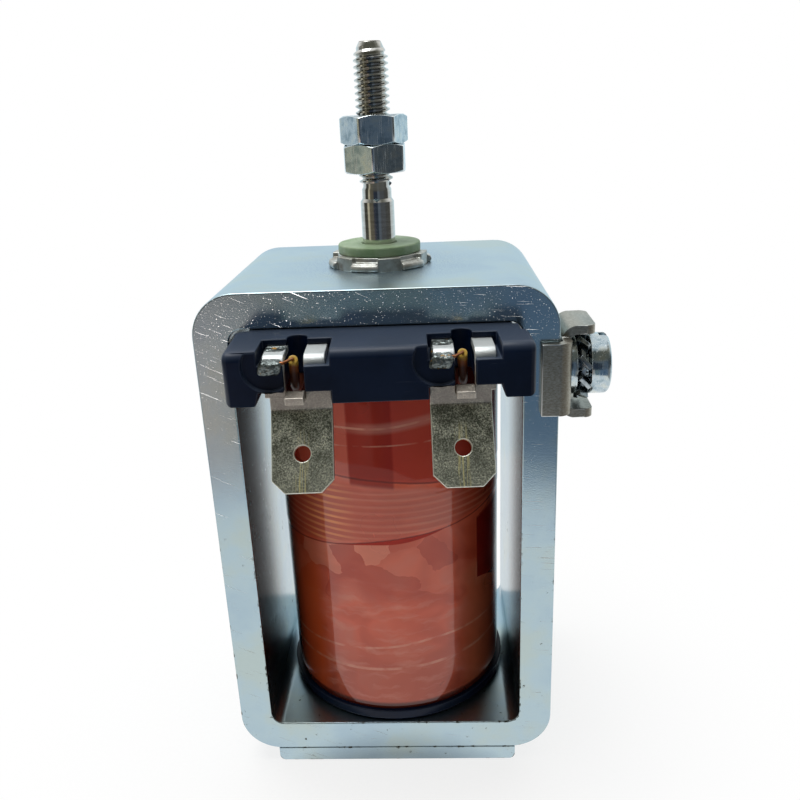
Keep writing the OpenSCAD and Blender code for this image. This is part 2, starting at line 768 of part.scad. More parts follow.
// Sleeved lead: from the coil under the block, up between the prongs, and leaning forwards at its end
module lead_sleeve() {
    bend_z = lead_run_z + lead_bend_r;
    difference() {
        translate([-lead_shift, 0, 0]) {
            side_on() translate([lead_v - lean_r, lean_z]) rotate_extrude(angle = lead_lean)
                translate([lean_r, 0]) circle(sleeve_r, $fn = 32);
            translate([0, lead_v, bend_z]) cylinder(r = sleeve_r, h = lean_z - bend_z, $fn = 32);
            side_on() translate([lead_v + lead_bend_r, bend_z]) rotate(180) rotate_extrude(angle = 90)
                translate([lead_bend_r, 0]) circle(sleeve_r, $fn = 32);
            translate([0, lead_end, lead_run_z]) rotate([90, 0, 0])
                cylinder(r = sleeve_r, h = lead_end - lead_v - lead_bend_r, $fn = 32);
        }
        translate(mouth - (tail_seat + wire_d) * mouth_axis) rotate([lead_lean, 0, 0])
            cylinder(r = wire_d / 2 + seat_gap, h = tail_seat + past, $fn = 24);
    }
}

module lead_sleeve_left() {
    color("#8a4a24") at_prongs(-1) lead_sleeve();
}

module lead_sleeve_right() {
    color("#8a4a24") at_prongs(1) lead_sleeve();
}

// Bare end of the coil wire, out of the sleeve and round the prong's front into the solder
module wire_tail() {
    stops = [
        mouth - tail_seat * mouth_axis,
        mouth + wire_d * mouth_axis,
        [-prong_gap / 2, tail_v, tail_z],
        [-prong_mid, tail_v, tail_z]
    ];
    for (i = [1:len(stops) - 1])
        hull() for (stop = [stops[i - 1], stops[i]])
            translate(stop) sphere(d = wire_d, $fn = 16);
}

module wire_tail_left() {
    color("chocolate") at_prongs(-1) wire_tail();
}

module wire_tail_right() {
    color("chocolate") at_prongs(1) wire_tail();
}

// Moving core, with a conical nose and a blind hole for the rod
module armature() {
    foot_z = armature_top - nose_h;
    color("slategray") difference() {
        union() {
            translate([0, 0, yoke_z]) cylinder(r = armature_r, h = foot_z - yoke_z);
            translate([0, 0, foot_z]) cylinder(r1 = nose_foot_d / 2, r2 = nose_d / 2, h = nose_h);
        }
        translate([0, 0, rod_bottom]) cylinder(r = rod_r + seat_gap, h = rod_grip + past);
    }
}

// Push rod: plain shaft, relief neck, thread at its nominal size and a chamfered end
module push_rod() {
    relief_r = rod_r - relief_cut;
    color("silver") rotate_extrude() polygon([
        [0, rod_bottom],
        [rod_r, rod_bottom],
        [rod_r, thread_z - relief_l],
        [relief_r, thread_z - relief_l + relief_cut],
        [relief_r, thread_z - relief_cut],
        [rod_r, thread_z],
        [rod_r, rod_top - rod_chamfer_l],
        [rod_r - rod_chamfer, rod_top],
        [0, rod_top]
    ]);
}

// Thin washer that keeps the armature from sticking to the pole piece
module anti_stick_washer() {
    color("gold") translate([0, 0, armature_top]) ring(nose_d / 2 - hole_gap, rod_r + seat_gap, shim_t);
}

// Compression spring between the anti-stick washer and the end of the pole piece's chamber
module return_spring() {
    color("lightgray") polyhedron(
        points = [for (i = [0:spring_rings], s = [0:spring_sides - 1]) spring_point(i, s)],
        faces = concat(
            [[for (s = [0:spring_sides - 1]) spring_index(0, s)]],
            [for (i = [0:spring_rings - 1], s = [0:spring_sides - 1])
                [spring_index(i, s), spring_index(i + 1, s), spring_index(i + 1, s + 1)]],
            [for (i = [0:spring_rings - 1], s = [0:spring_sides - 1])
                [spring_index(i, s), spring_index(i + 1, s + 1), spring_index(i, s + 1)]],
            [[for (s = [spring_sides - 1:-1:0]) spring_index(spring_rings, s)]]
        ),
        convexity = 10
    );
}

// Hexagon nut with both ends chamfered
module hex_nut() {
    corner_r = nut_af / 2 / cos(30);
    cone_h = (corner_r - nut_af / 2) * tan(30);
    difference() {
        intersection() {
            cylinder(r = corner_r, h = nut_h, $fn = 6);
            rotate_extrude() polygon([
                [0, 0],
                [nut_af / 2, 0],
                [corner_r, cone_h],
                [corner_r, nut_h - cone_h],
                [nut_af / 2, nut_h],
                [0, nut_h]
            ]);
        }
        translate([0, 0, -past]) cylinder(r = rod_r + seat_gap, h = nut_h + 2 * past);
    }
}

module lower_nut() {
    color("gainsboro") translate([0, 0, nut_z]) rotate(lower_nut_turn) hex_nut();
}

module upper_nut() {
    color("gainsboro") translate([0, 0, nut_z + nut_h]) rotate(upper_nut_turn) hex_nut();
}

// One ear of the clamp with its bend and its round outer corners, at the top
module clamp_ear() {
    flat_l = ear_reach - clamp_standoff - ear_bend;
    translate([clamp_x + ear_bend, earth_y, earth_z]) {
        translate([0, ear_w / 2, ear_outer - ear_bend]) rotate([90, 0, 0]) rotate(90)
            sheet_bend(ear_r, clamp_sheet, ear_w, 90);
        translate([0, 0, ear_gap / 2]) linear_extrude(clamp_sheet) difference() {
            translate([0, -ear_w / 2]) square([flat_l, ear_w]);
            translate([flat_l, ear_w / 2]) corner_waste(ear_corner_r);
            translate([flat_l, -ear_w / 2]) mirror([0, 1]) corner_waste(ear_corner_r);
        }
    }
}

// Earth clamp: a base on the yoke's side, a hook round its front edge and two ears
module earth_clamp() {
    bend_x = clamp_x - hook_r;
    bend_y = -frame_d / 2 - hook_gap + hook_r;
    base_h = 2 * (ear_outer - ear_bend);
    color("#a39a86") difference() {
        union() {
            translate([clamp_x, earth_y - ear_w / 2, earth_z - base_h / 2])
                cube([clamp_sheet, ear_w, base_h]);
            translate([clamp_x, bend_y, earth_z - hook_h / 2])
                cube([clamp_sheet, earth_y - ear_w / 2 - bend_y + clamp_sheet / 2, hook_h]);
            translate([bend_x, bend_y, earth_z - hook_h / 2]) rotate(-90)
                sheet_bend(hook_r, clamp_sheet, hook_h, 90);
            translate([frame_w / 2 - hook_l, bend_y - hook_r - clamp_sheet, earth_z - hook_h / 2])
                cube([bend_x - frame_w / 2 + hook_l, clamp_sheet, hook_h]);
            clamp_ear();
            translate([0, 0, 2 * earth_z]) mirror([0, 0, 1]) clamp_ear();
        }
        on_earth_axis(clamp_x - past) cylinder(d = screw_d + 2 * hole_gap, h = clamp_sheet + 2 * past);
    }
}

module earth_flat_washer() {
    color("gainsboro") on_earth_axis(flat_x) ring(flat_d / 2, screw_d / 2 + hole_gap, flat_t);
}

// Lock washer with twisted outer teeth
module earth_lock_washer() {
    tooth_w = (lock_h - lock_t * cos(tooth_twist)) / sin(tooth_twist);
    color("slategray") on_earth_axis(lock_x + lock_h / 2) {
        translate([0, 0, -lock_t / 2]) ring(lock_ring_r, screw_d / 2 + hole_gap, lock_t);
        for (i = [0:lock_teeth - 1])
            rotate(i * 360 / lock_teeth) rotate([tooth_twist, 0, 0])
                translate([lock_ring_r - tooth_root, -tooth_w / 2, -lock_t / 2])
                    cube([tooth_l + tooth_root, tooth_w, lock_t]);
    }
}

// Half outline of the screw's head, with its round outer edge
module head_outline() {
    square([head_d / 2 - head_r, head_h]);
    square([head_d / 2, head_h - head_r]);
    translate([head_d / 2 - head_r, head_h - head_r]) intersection() {
        circle(head_r);
        square(head_r);
    }
}

// Slotted cheese head screw
module earth_screw() {
    color("silver") on_earth_axis(head_x) difference() {
        union() {
            rotate_extrude() head_outline();
            translate([0, 0, -screw_l]) cylinder(r = screw_r, h = screw_l);
        }
        translate([-head_d, -slot_w / 2, head_h - slot_d]) cube([2 * head_d, slot_w, head_h]);
    }
}

yoke_frame();
base_plate();
pole_piece();
guide_tube();
rod_bush();
buffer_washer();
bobbin();
coil_winding();
coil_wrap();
terminal_tab_left();
terminal_tab_right();
solder_left();
solder_right();
lead_sleeve_left();
lead_sleeve_right();
wire_tail_left();
wire_tail_right();
armature();
push_rod();
anti_stick_washer();
return_spring();
upper_nut();
lower_nut();
earth_clamp();
earth_flat_washer();
earth_lock_washer();
earth_screw();
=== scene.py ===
# %% [markdown]
# # An open-frame push solenoid
# A coil in a box of zinc plated steel pulls a steel core upwards, and the core's threaded rod does the
# pushing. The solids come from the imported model. This lesson dresses them: it rounds their edges, cuts
# the threads, wraps the coil in film and gives every piece the finish of the real one. Most lengths are
# written in millimetres, and MM turns them into the frame's metres.

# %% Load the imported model
import json
import math

import bmesh
import bpy
from mathutils import Matrix, Vector, noise


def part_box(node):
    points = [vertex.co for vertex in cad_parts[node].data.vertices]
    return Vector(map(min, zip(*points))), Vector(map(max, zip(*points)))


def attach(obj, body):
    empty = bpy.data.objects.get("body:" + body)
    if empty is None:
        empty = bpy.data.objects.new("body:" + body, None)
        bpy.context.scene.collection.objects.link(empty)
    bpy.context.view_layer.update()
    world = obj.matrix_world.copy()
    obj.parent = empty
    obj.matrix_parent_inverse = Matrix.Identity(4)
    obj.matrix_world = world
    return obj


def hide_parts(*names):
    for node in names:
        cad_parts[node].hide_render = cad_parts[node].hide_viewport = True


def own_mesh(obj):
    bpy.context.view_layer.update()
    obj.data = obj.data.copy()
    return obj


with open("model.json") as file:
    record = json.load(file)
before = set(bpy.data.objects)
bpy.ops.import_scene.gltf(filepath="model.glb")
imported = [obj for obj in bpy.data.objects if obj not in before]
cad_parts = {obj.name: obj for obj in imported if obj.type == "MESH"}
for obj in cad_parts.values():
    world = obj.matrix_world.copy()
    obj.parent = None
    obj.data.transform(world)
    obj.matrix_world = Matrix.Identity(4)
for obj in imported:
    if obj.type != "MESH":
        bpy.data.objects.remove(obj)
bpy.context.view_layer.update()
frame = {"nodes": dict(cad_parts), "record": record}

MM = 0.001
scene = bpy.context.scene
scene.view_settings.view_transform = "Standard"

# %% [markdown]
# ## Camera
# The view is from a hand's breadth away, a little above the rod's nuts, with the camera slightly turned.
# A camera could be aimed with a constraint, but a matrix built from yaw, pitch and roll says the same in
# one step.

# %% Camera at the photograph's place
eye = Vector((6.525, -100.113, 81.23)) * MM
yaw, pitch, roll = (math.radians(a) for a in (-2.754, 19.876, 2.449))
forward = Vector((math.sin(yaw) * math.cos(pitch), math.cos(yaw) * math.cos(pitch), -math.sin(pitch)))
aside = Vector((math.cos(yaw), -math.sin(yaw), 0))
below = forward.cross(aside)
right = math.cos(roll) * aside + math.sin(roll) * below
down = math.cos(roll) * below - math.sin(roll) * aside

camera = bpy.data.objects.new("camera", bpy.data.cameras.new("camera"))
camera.data.sensor_width = 36
camera.data.lens = 36.729
camera.data.clip_start = 5 * MM
camera.matrix_world = Matrix.Translation(eye) @ Matrix((right, -down, -forward)).transposed().to_4x4()
scene.collection.objects.link(camera)
scene.camera = camera
print("camera at", [round(x / MM, 1) for x in eye], "mm")

# %% [markdown]
# ## A small set of helpers for materials
# A finish is a tree of shader nodes. One function adds a node, sets its properties, joins its inputs and
# gives its output, so that each material below reads from top to bottom. Colours are written as sRGB hex
# codes and turned to linear light here.

# %% Colour and node helpers
def srgb(code):
    """Linear RGBA of an sRGB hex code."""
    parts = [int(code[i:i + 2], 16) / 255 for i in (1, 3, 5)]
    return [p / 12.92 if p <= 0.04045 else ((p + 0.055) / 1.055) ** 2.4 for p in parts] + [1.0]


def add(tree, kind, inputs=None, stops=(), out=0, **settings):
    """Adds a node and gives one of its outputs, the first unless another is named.

    An input is a number, a colour or another node's output; stops are a colour ramp's.
    """
    node = tree.nodes.new("ShaderNode" + kind)
    for name, value in settings.items():
        setattr(node, name, value)
    for name, value in (inputs or {}).items():
        if isinstance(value, bpy.types.NodeSocket):
            tree.links.new(value, node.inputs[name])
        else:
            node.inputs[name].default_value = value
    for number, (position, colour) in enumerate(stops):
        ramp = node.color_ramp.elements
        stop = ramp[number] if number < 2 else ramp.new(position)
        stop.position = position
        stop.color = srgb(colour) if isinstance(colour, str) else (colour, colour, colour, 1)
    return node.outputs[out] if node.outputs else None


def per(size):
    """Scale of a pattern whose features are this many millimetres across."""
    return 1 / (size * MM)


# A Mix node's colour sockets have the same names as its number sockets, so they are reached by their places
FACTOR, COLOUR_A, COLOUR_B, COLOUR = 0, 6, 7, 2


def start_material(name, **constants):
    """A new material: its tree, its shader with the constants set, and the piece's own coordinates."""
    material = bpy.data.materials.new(name)
    material.use_nodes = True
    tree = material.node_tree
    shader = tree.nodes["Principled BSDF"]
    for socket, value in constants.items():
        shader.inputs[socket.replace("_", " ")].default_value = value
    return material, tree, shader, add(tree, "TexCoord", out="Object")


def join(shader, **sockets):
    """Joins outputs of nodes to the inputs of a shader."""
    for socket, output in sockets.items():
        shader.id_data.links.new(output, shader.inputs[socket.replace("_", " ")])


# %% [markdown]
# ## Floor and surroundings
# Bright metal shows little but its surroundings, so most of its look is made here. The part stands on
# white paper in a bright room, and the side that it faces is dark: below there is a pinkish patch on the
# left, at eye height a tan stripe between olive shadows, and higher up an even olive dark. Rays from the
# camera see plain white instead.

# %% White paper under the part
paper, tree, shader, place = start_material("white paper", Roughness=0.9)
fibre = add(tree, "TexNoise", {"Vector": place, "Scale": per(0.5), "Detail": 4})
tone = add(tree, "ValToRGB", {"Fac": fibre}, [(0.3, "#f4f4f3"), (0.7, "#fbfbfa")])
join(shader, Base_Color=tone)
away = add(tree, "VectorMath", {0: place}, operation="LENGTH", out="Value")
# The camera sees the shadow close to the part, and plain white further off
whitened = add(tree, "MapRange", {"Value": away, "From Min": 22 * MM, "From Max": 58 * MM, "To Min": 0.8})
ray = add(tree, "LightPath").node.outputs
seen = add(tree, "Math", {0: ray["Is Camera Ray"], 1: whitened}, operation="MULTIPLY")
seen = add(tree, "Math", {0: seen, 1: ray["Is Glossy Ray"]}, operation="MAXIMUM")
seen = add(tree, "Math", {0: seen, 1: ray["Is Transmission Ray"]}, operation="MAXIMUM")
# What the metal mirrors of the paper is darker close by, in the part's own shade
shade = add(tree, "MapRange", {"Value": away, "From Min": 16 * MM, "From Max": 21 * MM, "To Min": 0.5})
strength = add(tree, "Math", {0: shade, 1: ray["Is Camera Ray"]}, operation="MAXIMUM")
glow = add(tree, "Emission", {"Color": (1, 1, 1, 1), "Strength": strength})
blend = add(tree, "MixShader", {0: seen, 1: shader.outputs[0], 2: glow})
tree.links.new(blend, tree.nodes["Material Output"].inputs["Surface"])

PAPER_RADIUS = 95
shape = bmesh.new()
bmesh.ops.create_circle(shape, cap_ends=True, segments=96, radius=PAPER_RADIUS * MM)
bmesh.ops.translate(shape, verts=shape.verts, vec=(-10 * MM, -10 * MM, -0.05 * MM))
mesh = bpy.data.meshes.new("floor")
shape.to_mesh(mesh)
shape.free()
mesh.materials.append(paper)
floor = bpy.data.objects.new("floor", mesh)
scene.collection.objects.link(floor)
print("paper is", 2 * PAPER_RADIUS, "mm across")

# %% World: a bright room with a dark front, in three layers of height under a white ceiling
LOW_ROOM = [(-180, "#f4fafc"), (-110, "#f4fafc"), (-80, "#bcbcbc"), (-60, "#a0a0a0"), (-32, "#c4b6b0"),
            (-24, "#e4cdc4"), (-14, "#e4cdc4"), (-11, "#728480"), (-2, "#748690"), (3, "#66798f"),
            (12, "#66798f"), (35, "#8c8c8c"), (65, "#989898"), (110, "#f4fafc"), (180, "#f4fafc")]
EYE_ROOM = [(-180, "#e2f6ff"), (-140, "#e2f6ff"), (-105, "#d8dfe3"), (-97, "#47473f"), (-72, "#47473f"),
            (-67, "#ccc6b0"), (-57, "#ccc6b0"), (-52, "#6c6859"), (-28, "#5f5c52"), (-20, "#333b4a"),
            (4, "#303844"), (9, "#606a76"), (20, "#606a76"), (28, "#54585d"), (55, "#54585d"),
            (62, "#4d4f50"), (96, "#50504c"), (104, "#d8dfe3"), (140, "#e2f6ff"), (180, "#e2f6ff")]
HIGH_ROOM = [(-180, 1.0), (-120, 1.0), (-80, "#95958f"), (-50, "#64645c"), (50, "#64645c"), (80, "#95958f"),
             (120, 1.0), (180, 1.0)]
world = bpy.data.worlds.new("studio")
scene.world = world
world.use_nodes = True
tree = world.node_tree
tree.nodes.clear()
axes = add(tree, "SeparateXYZ", {"Vector": add(tree, "TexCoord", out="Generated")}).node.outputs
front = add(tree, "Math", {0: axes["Y"], 1: -1.0}, operation="MULTIPLY")
bearing = add(tree, "Math", {0: axes["X"], 1: front}, operation="ARCTAN2")
turn = add(tree, "MapRange", {"Value": bearing, "From Min": -math.pi, "From Max": math.pi})
low, middle, high = (add(tree, "ValToRGB", {"Fac": turn},
                         [(0.5 + degrees / 360, colour) for degrees, colour in room])
                     for room in (LOW_ROOM, EYE_ROOM, HIGH_ROOM))
room = low
for layer, start, end in ((middle, -0.2, -0.16), (high, 0.3, 0.45), ((1, 1, 1, 1), 0.84, 0.94)):
    rise = add(tree, "MapRange", {"Value": axes["Z"], "From Min": start, "From Max": end})
    room = add(tree, "Mix", {FACTOR: rise, COLOUR_A: room, COLOUR_B: layer}, data_type="RGBA", out=COLOUR)
ray = add(tree, "LightPath").node.outputs
fill = add(tree, "Background", {"Color": room, "Strength": 1.0})
white = add(tree, "Background", {"Color": (1, 1, 1, 1), "Strength": 1.0})
clear = add(tree, "Math", {0: ray["Is Camera Ray"], 1: ray["Is Transmission Ray"]}, operation="MAXIMUM")
shown = add(tree, "MixShader", {0: clear, 1: fill, 2: white})
add(tree, "OutputWorld", {"Surface": shown})
print("world has", len(tree.nodes), "nodes")

# %% One large soft lamp overhead, a little to the left
lamp = bpy.data.objects.new("window", bpy.data.lights.new("window", "AREA"))
lamp.data.shape = "DISK"
lamp.data.size = 0.25
lamp.data.energy = 1.0
lamp.location = (-0.10, 0.0, 0.45)
lamp.rotation_mode = "QUATERNION"
lamp.rotation_quaternion = (Vector((0, 0, 0.04)) - lamp.location).to_track_quat("-Z", "Y")
scene.collection.objects.link(lamp)
print("lamp gives", round(lamp.data.energy, 2), "W")

# %% [markdown]
# ## Turning solids into finished pieces
# The solids are sharp, but no real edge is: sheet is deburred and moulds have radii, and those narrow
# roundings catch the light. So a piece starts as a merged copy of its solid, whose sharp edges are
# bevelled. The bevelled faces are remembered in an attribute named edge, for finishes that wear there.
# Turned pieces are spun from their outlines.

# %% Piece helpers
bodies = {node: body for body, nodes in frame["record"]["behaviour"]["bodies"].items() for node in nodes}


def merged_copy(node):
    """Copy of a solid as one connected shape with flat faces whole."""
    shape = bmesh.new()
    shape.from_mesh(frame["nodes"][node].data)
    bmesh.ops.remove_doubles(shape, verts=shape.verts, dist=1e-6)
    bmesh.ops.dissolve_limit(shape, angle_limit=math.radians(1), verts=shape.verts, edges=shape.edges)
    shape.faces.layers.float.new("edge")
    return shape


def round_edges(shape, edges, radius, steps=2, clamp=False):
    """Rounds edges of a shape, and marks the faces that this makes."""
    made = bmesh.ops.bevel(shape, geom=edges, offset=radius * MM, offset_type="OFFSET", segments=steps,
                           profile=0.5, affect="EDGES", material=-1, clamp_overlap=clamp)
    marked = shape.faces.layers.float["edge"]
    for face in made["faces"]:
        face[marked] = 1.0


def sharp_edges(shape, degrees=32):
    return [e for e in shape.edges if e.is_manifold and e.calc_face_angle() > math.radians(degrees)]


def rounded_copy(node, radius, steps=2, clamp=False):
    """Copy of a solid with all its sharp edges rounded."""
    shape = merged_copy(node)
    round_edges(shape, sharp_edges(shape), radius, steps, clamp)
    return shape


def turned(outline, steps=96):
    """Closed solid of revolution about Z, from (radius, height) points in millimetres."""
    shape = bmesh.new()
    points = [shape.verts.new((r * MM, 0, z * MM)) for r, z in outline]
    for a, b in zip(points, points[1:]):
        shape.edges.new((a, b))
    bmesh.ops.spin(shape, geom=shape.verts[:] + shape.edges[:], axis=(0, 0, 1), cent=(0, 0, 0),
                   angle=math.tau, steps=steps, use_merge=True)
    bmesh.ops.remove_doubles(shape, verts=shape.verts, dist=1e-7)
    bmesh.ops.recalc_face_normals(shape, faces=shape.faces)
    return shape


def finish_piece(shape, name, material, node, crisp=38, flats=True):
    """Makes the object, which stands for a solid, rides on its body and has its material slot."""
    mesh = bpy.data.meshes.new(name)
    shape.to_mesh(mesh)
    shape.free()
    mesh.shade_smooth()
    mesh.set_sharp_from_angle(angle=math.radians(crisp))
    mesh.materials.append(material)
    piece = bpy.data.objects.new(name, mesh)
    scene.collection.objects.link(piece)
    if flats:
        piece.modifiers.new("flat faces stay flat", "WEIGHTED_NORMAL").keep_sharp = True
    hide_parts(node)
    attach(piece, bodies[node])
    print(name, "has", len(mesh.polygons), "faces")
    return piece


# %% [markdown]
# ## Zinc plated yoke
# The yoke and the plate under it are bent from steel strip and zinc plated: a pale blue-grey metal, satin
# on the top and glossier on the cut front, with handling scratches across its upright faces and a few
# specks of dirt low down. Everything is drawn by noise on the piece's own coordinates, because a scratch
# has a real length and width.

# %% Material: zinc plated steel strip
zinc, tree, shader, place = start_material("zinc plated steel strip", Metallic=1.0)
axes = add(tree, "SeparateXYZ", {"Vector": place}).node.outputs
facing = add(tree, "SeparateXYZ", {"Vector": add(tree, "TexCoord", out="Normal")}).node.outputs
# Clouds of bluer and creamier plating, about 9 mm across
clouds = add(tree, "TexNoise", {"Vector": place, "Scale": per(9), "Detail": 4, "Roughness": 0.6})
tint = add(tree, "ValToRGB", {"Fac": clouds}, [(0.36, "#a7bcc8"), (0.5, "#aec2ca"), (0.64, "#b3c2c1")])
# The inside of the box, above its floor and off its cut faces
cut_face = add(tree, "Math", {0: facing["Y"]}, operation="ABSOLUTE")
inside = add(tree, "MapRange", {"Value": cut_face, "From Min": 0.7, "From Max": 0.3})
off_middle = add(tree, "Math", {0: axes["X"]}, operation="ABSOLUTE")
within = add(tree, "MapRange", {"Value": off_middle, "From Min": 16.3 * MM, "From Max": 16.1 * MM})
inside = add(tree, "Math", {0: inside, 1: within}, operation="MULTIPLY")
for start, end in ((59.4, 59.1), (6.5, 10)):
    part = add(tree, "MapRange", {"Value": axes["Z"], "From Min": start * MM, "From Max": end * MM})
    inside = add(tree, "Math", {0: inside, 1: part}, operation="MULTIPLY")

# %% Zinc: scratches, flecks and sparkle
# Handling scratches 0.09 mm wide on the upright outer faces: level ones 5 mm long on the right, and
# slanting ones 6 mm long on the left
right_share = add(tree, "MapRange", {"Value": axes["X"], "From Min": -8 * MM, "From Max": 10 * MM})
scratch = 0.0
for lean, length, on_left, on_right in ((0.06, 5, -0.1, 0.0), (0.42, 6, 0.0, -0.1)):
    across = add(tree, "Mapping", {"Vector": place, "Rotation": (0, lean, 0),
                                   "Scale": (length * MM, 4 * MM, 0.09 * MM)}, vector_type="TEXTURE")
    lines = add(tree, "TexNoise", {"Vector": across, "Scale": 1.0, "Detail": 3})
    share = add(tree, "MapRange", {"Value": right_share, "To Min": on_left, "To Max": on_right})
    cut = add(tree, "Math", {0: lines, 1: share}, operation="ADD")
    cut = add(tree, "MapRange", {"Value": cut, "From Min": 0.7, "From Max": 0.71})
    scratch = add(tree, "Math", {0: cut, 1: scratch}, operation="MAXIMUM")
lying = add(tree, "Math", {0: facing["Z"]}, operation="ABSOLUTE")
upright = add(tree, "MapRange", {"Value": lying, "From Min": 0.7, "From Max": 0.3})
outer = add(tree, "MapRange", {"Value": inside, "To Min": 1.0, "To Max": 0.0})
for share in (upright, outer):
    scratch = add(tree, "Math", {0: scratch, 1: share}, operation="MULTIPLY")
# Bright flecks of the plating, 0.14 mm across, most of them high on the cut front
flecks = add(tree, "TexNoise", {"Vector": place, "Scale": per(0.14), "Detail": 2, "Roughness": 0.6})
raised = add(tree, "MapRange", {"Value": axes["Z"], "From Min": 40 * MM, "From Max": 58 * MM,
                                "To Max": 0.06})
cut_front = add(tree, "MapRange", {"Value": facing["Y"], "From Min": -0.4, "From Max": -0.9})
raised = add(tree, "Math", {0: raised, 1: cut_front}, operation="MULTIPLY")
fleck = add(tree, "Math", {0: flecks, 1: raised}, operation="ADD")
fleck = add(tree, "MapRange", {"Value": fleck, "From Min": 0.745, "From Max": 0.755})
marks = add(tree, "Math", {0: fleck, 1: scratch}, operation="MAXIMUM")
# Fine sparkle, 0.2 mm across, on the top round the collar, where the plating is coarser
sparkle = add(tree, "TexNoise", {"Vector": place, "Scale": per(0.2), "Detail": 1})
sparkle = add(tree, "MapRange", {"Value": sparkle, "From Min": 0.48, "From Max": 0.64, "To Max": 0.8})
across_top = add(tree, "CombineXYZ", {"X": axes["X"], "Y": axes["Y"]})
off_axis = add(tree, "VectorMath", {0: across_top}, operation="LENGTH", out="Value")
near = add(tree, "MapRange", {"Value": off_axis, "From Min": 14 * MM, "From Max": 8 * MM})
upper = add(tree, "MapRange", {"Value": axes["Z"], "From Min": 62.9 * MM, "From Max": 62.98 * MM})
sparkle = add(tree, "Math", {0: sparkle, 1: near}, operation="MULTIPLY")
sparkle = add(tree, "Math", {0: sparkle, 1: upper}, operation="MULTIPLY")

# %% Zinc: colour
# Painted shade: the inside of the box is painted darker, most of all towards the front
front_shade_ramp = add(tree, "MapRange", {"Value": axes["Y"], "From Min": 2 * MM, "From Max": -10 * MM, "To Max": 0.9})
inner_painted_shade = add(tree, "Math", {0: inside, 1: front_shade_ramp}, operation="MULTIPLY")
plated = add(tree, "Mix", {FACTOR: inner_painted_shade, COLOUR_A: tint, COLOUR_B: srgb("#646d70")},
             data_type="RGBA", out=COLOUR)
plated = add(tree, "Mix", {FACTOR: sparkle, COLOUR_A: plated, COLOUR_B: srgb("#7d97b4")},
             data_type="RGBA", out=COLOUR)
# Dirt specks about 1 mm across, more of them towards the foot and along the edges
specks = add(tree, "TexNoise", {"Vector": place, "Scale": per(1.1), "Detail": 4, "Roughness": 0.65})
edge = add(tree, "Attribute", attribute_name="edge", out="Fac")
gathered = add(tree, "Math", {0: edge, 1: 0.1, 2: specks}, operation="MULTIPLY_ADD")
speck = add(tree, "MapRange", {"Value": gathered, "From Min": 0.66, "From Max": 0.73})
footward = add(tree, "MapRange", {"Value": axes["Z"], "From Min": 42 * MM, "From Max": 10 * MM})
dirt = add(tree, "Math", {0: speck, 1: footward}, operation="MULTIPLY")
marked = add(tree, "Mix", {FACTOR: marks, COLOUR_A: plated, COLOUR_B: srgb("#fafcfc")},
             data_type="RGBA", out=COLOUR)
soiled = add(tree, "Mix", {FACTOR: dirt, COLOUR_A: marked, COLOUR_B: srgb("#4d4a3e")},
             data_type="RGBA", out=COLOUR)
join(shader, Base_Color=soiled)

# %% Zinc: gloss and relief
# The cut front is glossiest, then the rolled sides; the rolled top is satin, and marks and dirt are rough
sideways = add(tree, "Math", {0: facing["X"]}, operation="ABSOLUTE")
satin = add(tree, "MapRange", {"Value": facing["Z"], "From Min": 0.2, "To Min": 0.2, "To Max": 0.34})
dull = add(tree, "Math", {0: sideways, 1: 0.06, 2: satin}, operation="MULTIPLY_ADD")
worn = add(tree, "Math", {0: marks, 1: 0.15, 2: dull}, operation="MULTIPLY_ADD")
gritty = add(tree, "Math", {0: dirt, 1: 0.4, 2: worn}, operation="MULTIPLY_ADD")
join(shader, Roughness=gritty)
# Crystals of the plating, 0.16 mm across, ripple the surface
crystals = add(tree, "TexNoise", {"Vector": place, "Scale": per(0.16), "Detail": 2})
bump = add(tree, "Bump", {"Strength": 0.5, "Distance": 0.012 * MM, "Height": crystals})
# A scratch is a groove, whose lower wall faces up and catches the light from above
groove = add(tree, "CombineXYZ", {"Z": marks})
tilted = add(tree, "VectorMath", {0: bump, 1: groove}, operation="ADD")
tilted = add(tree, "VectorMath", {0: tilted}, operation="NORMALIZE")
join(shader, Normal=tilted)

# %% Yoke and base plate with deburred edges
finish_piece(rounded_copy("yoke_frame", 0.18, 3), "yoke_deburred", zinc, "yoke_frame")
finish_piece(rounded_copy("base_plate", 0.12), "base_plate_deburred", zinc, "base_plate")

# %% [markdown]
# ## Turned steel core
# The fixed core is bare steel. Its spigot comes up through the yoke and is staked over it in six lobes,
# so the collar is grey-brown, a little oily and marked by the tool. The moving core is the same steel,
# out of sight in its tube.

# %% Material: bare turned steel
steel, tree, shader, place = start_material("bare turned steel", Metallic=1.0)
stain = add(tree, "TexNoise", {"Vector": place, "Scale": per(1.8), "Detail": 5, "Roughness": 0.65})
tone = add(tree, "ValToRGB", {"Fac": stain}, [(0.34, "#9a958c"), (0.52, "#bec0ba"), (0.68, "#ced2d0")])
join(shader, Base_Color=tone)
gloss = add(tree, "MapRange", {"Value": stain, "From Min": 0.3, "From Max": 0.7,
                               "To Min": 0.56, "To Max": 0.4})
join(shader, Roughness=gloss)
# Tool marks 0.25 mm wide round the axis
marks = add(tree, "Mapping", {"Vector": place, "Scale": (per(1.5), per(1.5), per(0.25))})
mark = add(tree, "TexNoise", {"Vector": marks, "Scale": 1.0, "Detail": 2})
bump = add(tree, "Bump", {"Strength": 0.4, "Distance": 0.02 * MM, "Height": mark})
join(shader, Normal=bump)

# %% Pieces: staked core and moving core
finish_piece(rounded_copy("pole_piece", 0.12), "staked_pole_piece", steel, "pole_piece")
finish_piece(rounded_copy("armature", 0.15), "armature_core", steel, "armature")

# %% [markdown]
# ## Sage green buffer washer
# A nylon washer lies on the collar and softens the knock when the rod comes back. It is matt and slightly
# mottled. A spun outline would do; the solid's copy with a generous rounding is the same thing in one
# line.

